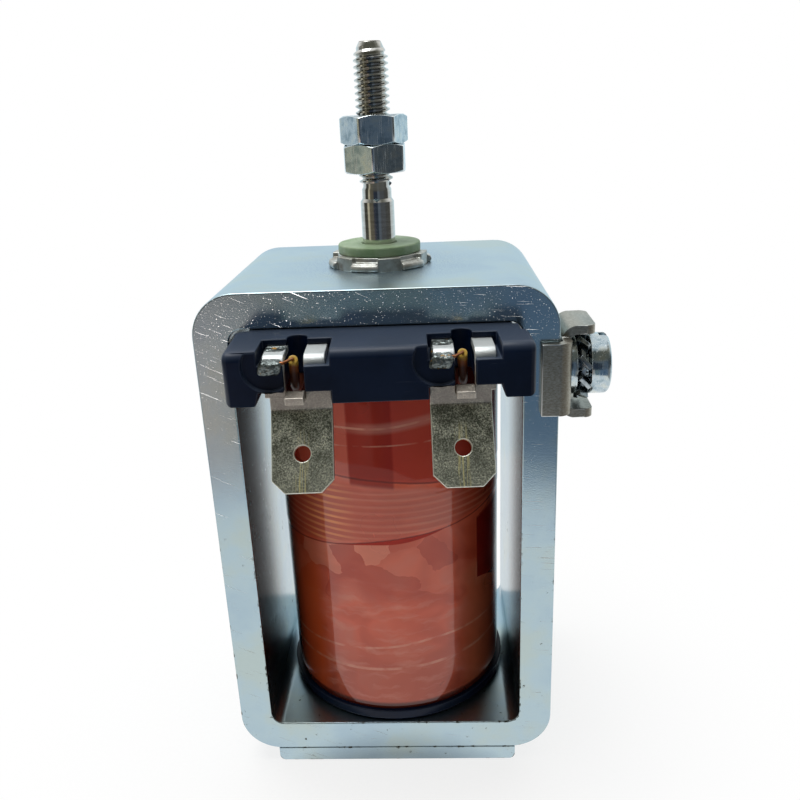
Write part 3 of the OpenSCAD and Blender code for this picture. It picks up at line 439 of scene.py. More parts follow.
# %% Material and piece: sage green nylon
nylon, tree, shader, place = start_material("sage green nylon", Roughness=0.55)
mottle = add(tree, "TexNoise", {"Vector": place, "Scale": per(2.2), "Detail": 5, "Roughness": 0.6})
tone = add(tree, "ValToRGB", {"Fac": mottle}, [(0.3, "#7f9a70"), (0.55, "#96ac88"), (0.75, "#a9b79d")])
join(shader, Base_Color=tone)
skin = add(tree, "TexNoise", {"Vector": place, "Scale": per(0.3), "Detail": 2})
bump = add(tree, "Bump", {"Strength": 0.3, "Distance": 0.02 * MM, "Height": skin})
join(shader, Normal=bump)
finish_piece(rounded_copy("buffer_washer", 0.22, 3), "buffer_washer_nylon", nylon, "buffer_washer")

# %% [markdown]
# ## Moulded bobbin and terminal block
# The former and its terminal block are one moulding in glass-filled nylon: blue-black, satin where the mould
# was polished, paler where it is scuffed or dusty, with a painted sheen on the block's upper faces. The
# scuffs are thin stretched noise, and edges wear a little lighter.

# %% Material: black glass-filled nylon
moulding, tree, shader, place = start_material("black glass-filled nylon", Specular_IOR_Level=0.2)
cloud = add(tree, "TexNoise", {"Vector": place, "Scale": per(5), "Detail": 4})
tone = add(tree, "ValToRGB", {"Fac": cloud}, [(0.35, "#04122a"), (0.65, "#091c38")])
scuff_map = add(tree, "Mapping", {"Vector": place, "Rotation": (0.2, 0.35, 0.1),
                                  "Scale": (per(3.5), per(1), per(0.16))})
scuffs = add(tree, "TexNoise", {"Vector": scuff_map, "Scale": 1.0, "Detail": 3})
scuff = add(tree, "MapRange", {"Value": scuffs, "From Min": 0.68, "From Max": 0.84, "To Max": 0.3})
edge = add(tree, "Attribute", attribute_name="edge", out="Fac")
rubbed = add(tree, "Math", {0: edge, 1: 0.08, 2: scuff}, operation="MULTIPLY_ADD")
colour = add(tree, "Mix", {FACTOR: rubbed, COLOUR_A: tone, COLOUR_B: srgb("#6a727e")},
             data_type="RGBA", out=COLOUR)
# Dust and painted sheen: the block's upper faces are painted paler, for dust and for the light from above,
# and not down on the flange
facing = add(tree, "SeparateXYZ", {"Vector": add(tree, "TexCoord", out="Normal")}).node.outputs
height = add(tree, "SeparateXYZ", {"Vector": place}, out="Z")
lying = add(tree, "MapRange", {"Value": facing["Z"], "From Min": 0.1, "From Max": 0.9, "To Max": 0.5})
block = add(tree, "MapRange", {"Value": height, "From Min": 52 * MM, "From Max": 56 * MM})
dust_and_sheen = add(tree, "Math", {0: lying, 1: block}, operation="MULTIPLY")
dust_and_sheen_colour = add(tree, "Mix", {FACTOR: dust_and_sheen, COLOUR_A: colour, COLOUR_B: srgb("#4d5868")},
            data_type="RGBA", out=COLOUR)
join(shader, Base_Color=dust_and_sheen_colour)
gloss = add(tree, "MapRange", {"Value": cloud, "To Min": 0.28, "To Max": 0.46})
join(shader, Roughness=gloss)
grain = add(tree, "TexNoise", {"Vector": place, "Scale": per(0.3), "Detail": 3})
bump = add(tree, "Bump", {"Strength": 0.3, "Distance": 0.02 * MM, "Height": grain})
join(shader, Normal=bump)

# %% Piece: moulding, with wide roundings on the block's ends and narrow ones elsewhere
# The coil's turn in the yoke, and half the block's length in millimetres
COIL_TURN = math.radians(2.2)
BLOCK_END = 15.6


def at_end(vert):
    """Whether a point lies on one of the block's ends."""
    along = vert.co.x * math.cos(COIL_TURN) + vert.co.y * math.sin(COIL_TURN)
    return abs(along) > (BLOCK_END - 0.02) * MM


shape = merged_copy("bobbin")
outer = [e for e in sharp_edges(shape, 60) if e.is_convex and all(at_end(v) for v in e.verts)]
round_edges(shape, outer, 0.55, 5)
marked = shape.faces.layers.float["edge"]
inner = [e for e in sharp_edges(shape) if not any(f[marked] for v in e.verts for f in v.link_faces)]
round_edges(shape, inner, 0.14)
finish_piece(shape, "bobbin_moulding", moulding, "bobbin")

# %% [markdown]
# ## Film-wrapped coil
# Red-brown enamelled wire lies under clear film, so the eye sees copper through gloss. The film wets the
# wire in dark patches, stands off it in paler ones, and its laps and creases run round the coil as thin
# slanting lines. One opaque surface with a clear coat renders like that. Its pattern lives on the angle
# round the coil and the height above the base.
# Some light and shade is painted into its colour too: a glow on its sides, highlights on the bare wire,
# reflections above the upper lap, and shade under the lower lap, under the block and beside the left wall.

# %% Lines of the film, as degrees from the front and heights in millimetres; each closes at the back
upper_lap = [(-180, 40.4), (-90, 42.2), (-22, 40.6), (-2, 40.15), (28, 39.2), (90, 38.0), (180, 40.4)]
lower_lap = [(-180, 32.0), (-90, 30.0), (-38, 30.9), (0, 32.3), (34, 33.0), (90, 34.4), (180, 32.0)]
lap_shade = [(-180, 32.0), (-90, 30.0), (-38, 30.9), (-12, 31.6), (8, 31.8), (20, 32.3), (34, 33.0),
             (90, 34.4), (180, 32.0)]
patch_foot = [(-180, 24), (-90, 24), (-30, 24.5), (-20, 27), (-8, 24.5), (6, 25.5), (20, 24.2), (34, 25),
              (90, 24), (180, 24)]
top_crease = [(-180, 47.6), (-90, 46.4), (-21, 46.8), (-5, 46.7), (23, 47.4), (90, 49), (180, 47.6)]
middle_crease = [(-180, 44.6), (-90, 44.4), (0, 44.6), (90, 45), (180, 44.6)]
long_crease = [(-180, 16.2), (-90, 15.6), (-19, 16.6), (0, 17.1), (28, 17.7), (90, 17.2), (180, 16.2)]
low_crease = [(-180, 13.8), (-90, 13.2), (-18, 13.6), (10, 13.9), (90, 14.2), (180, 13.8)]
flap_foot = [(-180, 24), (51, 23.8), (81, 20.7), (90, 20), (180, 24)]
rim = [(-180, 8.4), (0, 8.5), (180, 8.4)]
# Height that the top of a curve's scale stands for
FULL = 60 * MM
film_r, film_inner_r = 14.4, 14.15


def line_height(line, degrees):
    """Height of a line of the film at an angle, in millimetres."""
    for (a, low), (b, high) in zip(line, line[1:]):
        if degrees <= b:
            return low + (high - low) * max(0, (degrees - a) / (b - a))
    return line[-1][1]


# %% Masks for the film: steps at its lines, streaks along them, sectors of its turn
film, tree, shader, place = start_material("clear film over enamelled copper", Metallic=0.3,
                                           Specular_IOR_Level=0.0, Coat_Roughness=0.03, Coat_IOR=1.52)
axes = add(tree, "SeparateXYZ", {"Vector": place}).node.outputs
front = add(tree, "Math", {0: axes["Y"], 1: -1.0}, operation="MULTIPLY")
angle = add(tree, "Math", {0: axes["X"], 1: front}, operation="ARCTAN2")
around = add(tree, "MapRange", {"Value": angle, "From Min": -math.pi, "From Max": math.pi})
arc = add(tree, "Math", {0: angle, 1: film_r * MM}, operation="MULTIPLY")
flat = add(tree, "CombineXYZ", {"X": arc, "Y": axes["Z"]})


def above_line(line):
    """Metres by which the surface lies above a line of the film."""
    curve = add(tree, "FloatCurve", {"Value": around})
    points = curve.node.mapping.curves[0].points
    for number, (degrees, millimetres) in enumerate(line):
        spot = (degrees / 360 + 0.5, millimetres * MM / FULL)
        if number == 0:
            points[0].location = spot
        elif number == len(line) - 1:
            points[len(points) - 1].location = spot
        else:
            points.new(*spot)
    for point in points:
        point.handle_type = "AUTO_CLAMPED"
    curve.node.mapping.update()
    return add(tree, "Math", {0: curve, 1: -FULL, 2: axes["Z"]}, operation="MULTIPLY_ADD")


def step(line, start, end):
    """0 to 1 as the surface goes from one distance above a line to another, in millimetres."""
    return add(tree, "MapRange", {"Value": above_line(line), "From Min": start * MM, "From Max": end * MM},
               interpolation_type="SMOOTHSTEP")


def streak(line, width):
    """1 on a line of the film, falling to 0 at its width in millimetres."""
    off = add(tree, "Math", {0: above_line(line)}, operation="ABSOLUTE")
    return add(tree, "MapRange", {"Value": off, "From Min": width * MM, "From Max": width * 0.3 * MM},
               interpolation_type="SMOOTHSTEP")


def sector(start, end, soft=1.0):
    """1 between two angles in degrees, with soft sides."""
    middle = add(tree, "Math", {0: angle, 1: math.radians(start + end) / 2}, operation="SUBTRACT")
    off = add(tree, "Math", {0: middle}, operation="ABSOLUTE")
    half = math.radians(end - start) / 2
    return add(tree, "MapRange", {"Value": off, "From Min": half + math.radians(soft),
                                  "From Max": half - math.radians(soft)})


def meet(*masks):
    """Product of masks, each a socket or a share."""
    product = masks[0]
    for mask in masks[1:]:
        product = add(tree, "Math", {0: product, 1: mask}, operation="MULTIPLY")
    return product


def paint(base, code, *masks):
    """A colour laid over another where the masks meet."""
    return add(tree, "Mix", {FACTOR: meet(*masks), COLOUR_A: base, COLOUR_B: srgb(code)},
               data_type="RGBA", out=COLOUR)


# %% Material: clear film over enamelled copper wire
# Broad patches, about 8 mm wide and 6 mm high
patch_map = add(tree, "Mapping", {"Vector": flat, "Scale": (per(8), per(6), 1)})
patches = add(tree, "TexNoise", {"Vector": patch_map, "Scale": 1.0, "Detail": 2, "Distortion": 0.6})
colour = add(tree, "ValToRGB", {"Fac": patches}, [
    (0.36, "#be4a2e"), (0.46, "#cc5436"), (0.52, "#d65e40"), (0.66, "#d26a52")])
# The foot is a little browner
foot_line = [(-180, 20), (180, 20)]
colour = paint(colour, "#a44a34", step(foot_line, 2, -8), 0.6)
# Painted glow: the sides are painted more orange, most of all low down, for light thrown back by the
# yoke's walls
side_glow_line = [(-180, 27), (-90, 26), (90, 28), (180, 27)]
colour = paint(colour, "#da5a2a", sector(-64, -38, 4), step(side_glow_line, 6, -4), 0.9)
colour = paint(colour, "#cc6a46", sector(42, 68, 6), step(side_glow_line, 0, -3), 0.8)

# %% Film: dry sheets, strokes and bare turns of wire
# Dry film under the lower lap lies in angular sheets about 6 mm wide and 4 mm high, some pale and some wet
ragged = add(tree, "TexNoise", {"Vector": flat, "Scale": per(2), "Detail": 3}, out="Color")
ragged = add(tree, "VectorMath", {0: ragged, 1: (1.8 * MM, 1.8 * MM, 0), 2: flat},
             operation="MULTIPLY_ADD")
cell_map = add(tree, "Mapping", {"Vector": ragged, "Scale": (per(6), per(4), 1)})
cells = add(tree, "TexVoronoi", {"Vector": cell_map, "Scale": 1.0}, voronoi_dimensions="2D", out="Color")
cell = add(tree, "SeparateColor", {"Color": cells})
pale_cell = add(tree, "MapRange", {"Value": cell, "From Min": 0.5, "From Max": 0.9, "To Max": 0.5})
wet_cell = add(tree, "MapRange", {"Value": cell, "From Min": 0.4, "From Max": 0.1, "To Max": 0.55})
dry = meet(step(patch_foot, -3.0, 1.0), step(lower_lap, 0.0, -0.2))
colour = paint(colour, "#e68f72", dry, pale_cell)
colour = paint(colour, "#a8321a", dry, wet_cell)
# Pale strokes low down, 5 mm long and 1 mm high, where the film was pressed down
stroke_map = add(tree, "Mapping", {"Vector": ragged, "Scale": (per(5), per(1.1), 1)})
strokes = add(tree, "TexNoise", {"Vector": stroke_map, "Scale": 1.0, "Detail": 3})
strokes = add(tree, "MapRange", {"Value": strokes, "From Min": 0.5, "From Max": 0.7, "To Max": 0.3})
colour = paint(colour, "#e09a84", strokes, step(patch_foot, 3.0, -3.0), sector(-38, 36, 3))
# Turns of wire that show between the laps, with painted highlights on their ridges, brightest and orange on
# the left. A wave texture repeats every pi / 10 of its scaled coordinate, so these ridges are 0.84 mm apart
wire_band = meet(step(lower_lap, 0.2, 0.7), step(upper_lap, -0.6, -1.8))
ridge_map = add(tree, "Mapping", {"Vector": flat, "Rotation": (0, 0, 0.035),
                                  "Scale": (per(9), per(0.43), 1)})
ridges = add(tree, "TexWave", {"Vector": ridge_map, "Scale": 0.16, "Distortion": 1.6, "Detail": 1},
             bands_direction="Y", out="Fac")
breaks = add(tree, "TexNoise", {"Vector": ridge_map, "Scale": 1.0, "Detail": 3})
ridge_highlight = add(tree, "MapRange", {"Value": meet(ridges, breaks), "From Min": 0.2, "From Max": 0.6})
colour = paint(colour, "#b84c32", wire_band, 0.6)
colour = paint(colour, "#e08a6c", wire_band, ridge_highlight, 0.4)
colour = paint(colour, "#ffa458", wire_band, ridge_highlight, sector(-42, -20, 6), 0.7)

# %% Film: laps, creases and shades
# Deep red film above the upper lap, with painted reflections: a pale veil on the left and a dark column
# down the front
upper = step(upper_lap, -0.15, 0.15)
colour = paint(colour, "#b43c2c", upper, 0.9)
colour = paint(colour, "#cc5c44", upper, sector(-46, -16, 0.6), 0.7)
colour = paint(colour, "#9a2a1c", step(upper_lap, -1.2, -0.6), sector(-16, 5, 0.6), 0.9)
colour = paint(colour, "#d09484", streak(top_crease, 0.9), sector(-14, 30, 8), 0.4)
# Laps and creases, with a crescent of painted shadow under the lower lap's edge
colour = paint(colour, "#5a140c", streak(upper_lap, 0.2), 0.7)
lap_shadow_crescent = meet(step(lap_shade, -0.05, 0.05), step(lower_lap, 0.06, -0.04))
colour = paint(colour, "#a82412", lap_shadow_crescent)
colour = paint(colour, "#6f1b10", streak(lower_lap, 0.16), 0.7)
for line, width, share in ((top_crease, 0.2, 0.6), (middle_crease, 0.14, 0.5), (long_crease, 0.24, 0.6),
                           (low_crease, 0.3, 0.5)):
    broken = add(tree, "TexNoise", {"Vector": flat, "Scale": per(3.5), "Detail": 3})
    broken = add(tree, "MapRange", {"Value": broken, "From Min": 0.4, "From Max": 0.58, "To Max": share})
    colour = paint(colour, "#e0a48c", streak(line, width), broken)
# Shade under the block, the loose flap on the right, and the dark foot of the wrap
shade_line = [(-180, 52), (180, 52)]
colour = paint(colour, "#2a0806", step(shade_line, -0.5, 1.0), 0.92)
for start, end in ((-54, -26), (29, 54)):
    colour = paint(colour, "#2a0806", step(shade_line, -8.0, -6.5), sector(start, end, 1.5), 0.92)
flap = meet(step(flap_foot, -0.05, 0.05), step(lower_lap, -0.8, -1.4), sector(51, 88, 0.4))
colour = paint(colour, "#8a120c", flap, 0.95)
colour = paint(colour, "#4a140c", step(rim, 0.2, -0.3), 0.9)
# The film ends in a straight cut at the back
behind = add(tree, "Math", {0: angle}, operation="ABSOLUTE")
cut_end = add(tree, "MapRange", {"Value": behind, "From Min": math.radians(179.0),
                                 "From Max": math.radians(179.5)})
colour = paint(colour, "#5a140c", cut_end, 0.8)
# Painted shade: the side next to the left wall, in the wall's shadow, is painted dark
colour = paint(colour, "#2b0e0b", sector(-118, -62, 8), 0.7)
join(shader, Base_Color=colour)

# %% Film: gloss and relief
# The copper below is satin; where the wire shows it is ridged
gloss = add(tree, "MapRange", {"Value": patches, "From Min": 0.3, "From Max": 0.7,
                               "To Min": 0.26, "To Max": 0.42})
join(shader, Roughness=gloss)
# The outer gloss is weaker where the film clings, and in the lap's shade
dimmed = meet(step(upper_lap, -1.0, -0.4), sector(-16, 62, 0.6))
dimmed = add(tree, "Math", {0: dimmed, 1: lap_shadow_crescent}, operation="MAXIMUM")
coat = add(tree, "MapRange", {"Value": dimmed, "To Min": 1.0, "To Max": 0.4})
join(shader, Coat_Weight=coat)
relief = add(tree, "Math", {0: meet(ridges, wire_band), 1: 0.4, 2: patches}, operation="MULTIPLY_ADD")
bump = add(tree, "Bump", {"Strength": 0.35, "Distance": 0.06 * MM, "Height": relief})
join(shader, Normal=bump)
wave = add(tree, "Bump", {"Strength": 0.1, "Distance": 0.08 * MM, "Height": relief})
join(shader, Coat_Normal=wave)
print("film has", len(tree.nodes), "nodes")

# %% [markdown]
# The film's own shape is not a true cylinder: it swells and sinks by some hundredths of a millimetre, and
# steps in at each lap. That is what bends the reflections. The outline is divided finely, spun, and then
# each point is pushed in.

# %% Piece: film wrap
coil_low, coil_high = 7.6, 57.3
rows = 150
lap_step = 0.05
outer = [(film_r, coil_low + (coil_high - coil_low) * i / rows) for i in range(rows + 1)]
inner = [(film_inner_r, coil_high), (film_inner_r, coil_low)]
shape = turned(inner[1:] + outer + inner, 240)
for vert in shape.verts:
    x, y, z = vert.co / MM
    radius = math.hypot(x, y)
    if radius > (film_r + film_inner_r) / 2:
        degrees = math.degrees(math.atan2(x, -y))
        broad = noise.noise(Vector((degrees / 38, z / 9, 2.0))) * 0.03
        fine = noise.noise(Vector((degrees / 14, z / 3, 7.0))) * 0.008
        laps = sum(lap_step * (z < line_height(line, degrees)) for line in (upper_lap, lower_lap))
        inward = 0.04 + laps - (broad + fine)
        vert.co.x *= (radius - inward) / radius
        vert.co.y *= (radius - inward) / radius
finish_piece(shape, "coil_film_wrap", film, "coil_wrap", crisp=60, flats=False)

# %% [markdown]
# ## Tinned terminal tabs
# The two blades are stamped from tinned brass. Tin dulls to an olive grey with fine dark speckles, and
# plugging a receptacle on leaves pale yellow scratches along the blade where the brass shows. The stamped
# edges stay bright.

# %% Material: tinned brass
tin, tree, shader, place = start_material("tinned brass", Metallic=1.0)
axes = add(tree, "SeparateXYZ", {"Vector": place}).node.outputs
blotches = add(tree, "TexNoise", {"Vector": place, "Scale": per(1.6), "Detail": 3})
grains = add(tree, "TexNoise", {"Vector": place, "Scale": per(0.17), "Detail": 3, "Roughness": 0.75})
speckle = add(tree, "Math", {0: blotches, 1: 0.35, 2: grains}, operation="MULTIPLY_ADD")
tone = add(tree, "ValToRGB", {"Fac": speckle},
           [(0.56, "#5e6054"), (0.66, "#8c8e80"), (0.74, "#c0c1b0"), (0.84, "#f0f0da")])
# Rubbed lines 0.2 mm wide down the middle of each blade, where the receptacle's spring has slid
rub_map = add(tree, "Mapping", {"Vector": place, "Rotation": (0, 0.05, 0),
                                "Scale": (per(0.2), per(9), per(5))})
rubs = add(tree, "TexNoise", {"Vector": rub_map, "Scale": 1.0, "Detail": 2})
rub = add(tree, "MapRange", {"Value": rubs, "From Min": 0.5, "From Max": 0.6})
# The blades stand 8.1 mm to each side of a line 0.85 mm right of the middle
side = add(tree, "Math", {0: axes["X"], 1: 0.85 * MM}, operation="SUBTRACT")
side = add(tree, "Math", {0: side}, operation="ABSOLUTE")
side = add(tree, "Math", {0: side, 1: 8.1 * MM}, operation="SUBTRACT")
side = add(tree, "Math", {0: side}, operation="ABSOLUTE")
central = add(tree, "MapRange", {"Value": side, "From Min": 0.9 * MM, "From Max": 0.5 * MM})
blade = add(tree, "MapRange", {"Value": axes["Z"], "From Min": 51 * MM, "From Max": 49 * MM})
rub = add(tree, "Math", {0: rub, 1: central}, operation="MULTIPLY")
rub = add(tree, "Math", {0: rub, 1: blade}, operation="MULTIPLY")

# %% Tinned brass: colour along the blade
# The lower end is polished paler by use
tip = add(tree, "MapRange", {"Value": axes["Z"], "From Min": 50 * MM, "From Max": 45.5 * MM,
                             "To Max": 0.3})
polished = add(tree, "Mix", {FACTOR: tip, COLOUR_A: tone, COLOUR_B: srgb("#e6e8d4")},
               data_type="RGBA", out=COLOUR)
rubbed = add(tree, "Mix", {FACTOR: rub, COLOUR_A: polished, COLOUR_B: srgb("#f4eab0")},
             data_type="RGBA", out=COLOUR)
edge = add(tree, "Attribute", attribute_name="edge", out="Fac")
bright = add(tree, "Mix", {FACTOR: edge, COLOUR_A: rubbed, COLOUR_B: srgb("#f6f6e8")},
             data_type="RGBA", out=COLOUR)
# Painted reflection: the strip above the blade is painted a plain pinkish grey. The prongs are wetted with
# fresh solder, pale and even, and painted paler still as a painted highlight of the light from above
strip = add(tree, "MapRange", {"Value": axes["Z"], "From Min": 52.2 * MM, "From Max": 52.8 * MM,
                               "To Max": 0.75})
strip_reflection = add(tree, "Mix", {FACTOR: strip, COLOUR_A: bright, COLOUR_B: srgb("#b3a9a0")},
            data_type="RGBA", out=COLOUR)
prong = add(tree, "MapRange", {"Value": axes["Z"], "From Min": 56.3 * MM, "From Max": 56.9 * MM})
wetted = add(tree, "Mix", {FACTOR: prong, COLOUR_A: strip_reflection, COLOUR_B: srgb("#dce1e1")},
             data_type="RGBA", out=COLOUR)
join(shader, Base_Color=wetted)
gloss = add(tree, "MapRange", {"Value": grains, "From Min": 0.3, "From Max": 0.7,
                               "To Min": 0.3, "To Max": 0.48})
gloss = add(tree, "Math", {0: prong, 1: 0.15, 2: gloss}, operation="MULTIPLY_ADD")
join(shader, Roughness=gloss)
bump = add(tree, "Bump", {"Strength": 1.0, "Distance": 0.045 * MM, "Height": grains})
join(shader, Normal=bump)

# %% Pieces: terminal tabs
for hand in ("left", "right"):
    finish_piece(rounded_copy("terminal_tab_" + hand, 0.1), "tab_blade_" + hand, tin, "terminal_tab_" + hand)

# %% [markdown]
# ## Solder, sleeves and wire ends
# Each lead comes up in a brown sleeve, its bare end is laid over a prong, and solder has run over both.
# Solder freezes in smooth shiny lumps with yellow flux in the hollows, so the solid is remeshed finely
# and smoothed until it looks wet.

# %% Material: solder with flux
solder, tree, shader, place = start_material("tin solder with flux")
lumps = add(tree, "TexNoise", {"Vector": place, "Scale": per(0.8), "Detail": 3})
flux = add(tree, "MapRange", {"Value": lumps, "From Min": 0.38, "From Max": 0.32})
colour = add(tree, "Mix", {FACTOR: flux, COLOUR_A: srgb("#747c7b"), COLOUR_B: srgb("#a07424")},
             data_type="RGBA", out=COLOUR)
join(shader, Base_Color=colour)
metal = add(tree, "MapRange", {"Value": flux, "To Min": 1.0, "To Max": 0.3})
join(shader, Metallic=metal)
gloss = add(tree, "MapRange", {"Value": lumps, "To Min": 0.2, "To Max": 0.44})
join(shader, Roughness=gloss)
bump = add(tree, "Bump", {"Strength": 1.0, "Distance": 0.5 * MM, "Height": lumps})
join(shader, Normal=bump)

# %% Materials: brown sleeve with a yellow end, and bare copper
sleeve, tree, shader, place = start_material("varnished brown sleeve", Roughness=0.35)
height = add(tree, "SeparateXYZ", {"Vector": place}, out="Z")
wobble = add(tree, "TexNoise", {"Vector": place, "Scale": per(0.8), "Detail": 3})
wavy_z = add(tree, "Math", {0: wobble, 1: 0.5 * MM, 2: height}, operation="MULTIPLY_ADD")
share = add(tree, "MapRange", {"Value": wavy_z, "From Min": 55.5 * MM, "From Max": 57.8 * MM})
tone = add(tree, "ValToRGB", {"Fac": share}, [(0.3, "#4a2212"), (0.66, "#8a4a1c"), (0.84, "#d0aa48")])
join(shader, Base_Color=tone)

copper, tree, shader, place = start_material("bare copper wire", Metallic=1.0)
tarnish = add(tree, "TexNoise", {"Vector": place, "Scale": per(0.6), "Detail": 3})
tone = add(tree, "ValToRGB", {"Fac": tarnish}, [(0.3, "#8a4f30"), (0.7, "#c08a62")])
join(shader, Base_Color=tone)
gloss = add(tree, "MapRange", {"Value": tarnish, "To Min": 0.25, "To Max": 0.5})
join(shader, Roughness=gloss)

# %% Pieces: solder, sleeves and wire ends of both terminals
for hand in ("left", "right"):
    shape = rounded_copy("solder_" + hand, 0.05)
    lump = finish_piece(shape, "solder_lump_" + hand, solder, "solder_" + hand, crisp=180, flats=False)
    remesh = lump.modifiers.new("even mesh", "REMESH")
    remesh.mode = "VOXEL"
    remesh.voxel_size = 0.09 * MM
    remesh.use_smooth_shade = True
    smooth = lump.modifiers.new("wetted", "SMOOTH")
    smooth.factor = 0.6
    smooth.iterations = 8
    for node, radius, name, material in (("lead_sleeve_", 0.06, "lead_tube_", sleeve),
                                         ("wire_tail_", 0.03, "wire_end_", copper)):
        finish_piece(rounded_copy(node + hand, radius), name + hand, material, node + hand)

# %% [markdown]
# ## Push rod with its thread
# The rod is ground stainless steel with an M4 thread on its upper end, a relief neck below it and a
# chamfer on top. The solid carries the thread as a plain cylinder. Here the cylinder is turned down to
# the root of the thread, and a ridge is laid round it: a small closed loop, spun with a rise at each
# step, and closed at both ends.

# %% Thread helper
def wind_thread(shape, root, crest, pitch, start, turns, steps=48):
    """Winds a thread ridge round Z into a shape, with its start height, in millimetres."""
    half_root, half_crest = pitch * 0.47, pitch * 0.1
    foot = root - 0.06
    corners = [(foot, -half_root), (crest, -half_crest), (crest, half_crest), (foot, half_root)]
    loop = [shape.verts.new((r * MM, 0, (start + z) * MM)) for r, z in corners]
    edges = [shape.edges.new((a, b)) for a, b in zip(loop, loop[1:] + loop[:1])]
    made = bmesh.ops.spin(shape, geom=loop + edges, axis=(0, 0, 1), cent=(0, 0, 0),
                          dvec=(0, 0, pitch / steps * MM), angle=math.tau * turns, steps=int(steps * turns))
    last = [e for e in made["geom_last"] if isinstance(e, bmesh.types.BMEdge)]
    bmesh.ops.contextual_create(shape, geom=edges)
    bmesh.ops.contextual_create(shape, geom=last)
    bmesh.ops.recalc_face_normals(shape, faces=shape.faces)


# %% Material: ground stainless steel
stainless, tree, shader, place = start_material("ground stainless steel", Metallic=1.0)
bands = add(tree, "Mapping", {"Vector": place, "Scale": (per(2.5), per(2.5), per(0.3))})
band = add(tree, "TexNoise", {"Vector": bands, "Scale": 1.0, "Detail": 3})
tone = add(tree, "ValToRGB", {"Fac": band}, [(0.3, "#bfbeb8"), (0.7, "#d2d2ce")])
# The sawn end is darker and duller
height = add(tree, "SeparateXYZ", {"Vector": place}, out="Z")
sawn = add(tree, "MapRange", {"Value": height, "From Min": 87.97 * MM, "From Max": 88.05 * MM})
colour = add(tree, "Mix", {FACTOR: sawn, COLOUR_A: tone, COLOUR_B: srgb("#8c8a84")},
             data_type="RGBA", out=COLOUR)
join(shader, Base_Color=colour)
gloss = add(tree, "MapRange", {"Value": band, "To Min": 0.05, "To Max": 0.14})
gloss = add(tree, "Math", {0: sawn, 1: 0.4, 2: gloss}, operation="MULTIPLY_ADD")
join(shader, Roughness=gloss)
bump = add(tree, "Bump", {"Strength": 0.06, "Distance": 0.01 * MM, "Height": band})
join(shader, Normal=bump)

# %% Piece: push rod
rod_r, root_r, neck_r = 2.0, 1.58, 1.75
thread_pitch, thread_length = 0.7, 16
rod_low, rod_high = (corner.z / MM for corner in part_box("push_rod"))
thread_low = rod_high - thread_length
chamfer = 1.5
shape = turned([(0, rod_low), (rod_r - 0.2, rod_low), (rod_r, rod_low + 0.2), (rod_r, thread_low - 1.62),
                (rod_r - 0.08, thread_low - 1.5), (neck_r, thread_low - 1.25), (neck_r, thread_low - 0.2),
                (root_r, thread_low + 0.1), (root_r, rod_high - 0.75), (1.3, rod_high - 0.12),
                (1.2, rod_high), (0, rod_high)])
wind_thread(shape, root_r, rod_r, thread_pitch, thread_low + 0.35,
            (thread_length - thread_pitch) / thread_pitch)
# The chamfer cuts the ridge down at the top, and its first turn grows out of the core
for vert in shape.verts:
    radius = math.hypot(vert.co.x, vert.co.y) / MM
    limit = rod_r - 0.75 * max(0, vert.co.z / MM - rod_high + chamfer) / chamfer
    run_in = (vert.co.z / MM - thread_low) / thread_pitch
    if run_in > 0.1:
        limit = min(limit, root_r + (rod_r - root_r) * run_in)
    if radius > limit:
        vert.co.x *= limit / radius
        vert.co.y *= limit / radius
    vert.co.z = min(vert.co.z, rod_high * MM)
finish_piece(shape, "rod_threaded", stainless, "push_rod", crisp=30, flats=False)

# %% [markdown]
# ## Bright zinc fasteners
# Two jam nuts are locked together on the rod, and a slotted screw holds the earth wire. All are zinc
# plated and bright, with scratches along the nuts' flats where a spanner has slipped. The screw gets a
# real thread too, on a thinner core.

# %% Material: bright zinc plate
bright_zinc, tree, shader, place = start_material("bright zinc plate", Metallic=1.0)
cloud = add(tree, "TexNoise", {"Vector": place, "Scale": per(1.2), "Detail": 4, "Roughness": 0.6})
tone = add(tree, "ValToRGB", {"Fac": cloud}, [(0.35, "#8c9fa8"), (0.5, "#b0c0c8"), (0.66, "#c2cac6")])
slip_map = add(tree, "Mapping", {"Vector": place, "Rotation": (0.12, 0.08, 0),
                                 "Scale": (per(0.12), per(0.12), per(2.4))})
slips = add(tree, "TexNoise", {"Vector": slip_map, "Scale": 1.0, "Detail": 3})
slip = add(tree, "MapRange", {"Value": slips, "From Min": 0.56, "From Max": 0.7})
edge = add(tree, "Attribute", attribute_name="edge", out="Fac")
shiny = add(tree, "Math", {0: slip, 1: edge}, operation="MAXIMUM")
colour = add(tree, "Mix", {FACTOR: shiny, COLOUR_A: tone, COLOUR_B: srgb("#e4ecee")},
             data_type="RGBA", out=COLOUR)
join(shader, Base_Color=colour)
gloss = add(tree, "Math", {0: slip, 1: 0.25, 2: 0.14}, operation="MULTIPLY_ADD")
join(shader, Roughness=gloss)
bump = add(tree, "Bump", {"Strength": 0.3, "Distance": 0.02 * MM, "Height": slips})
join(shader, Normal=bump)

# %% Pieces: jam nuts and flat washer
for node in ("upper_nut", "lower_nut"):
    shape = merged_copy(node)
    upright = [e for e in sharp_edges(shape, 50) if abs(e.verts[0].co.z - e.verts[1].co.z) > 1.5 * MM]
    round_edges(shape, upright, 0.25, 4)
    round_edges(shape, sharp_edges(shape, 40), 0.04)
    finish_piece(shape, node + "_plated", bright_zinc, node)
finish_piece(rounded_copy("earth_flat_washer", 0.1), "flat_washer_plated", bright_zinc, "earth_flat_washer")

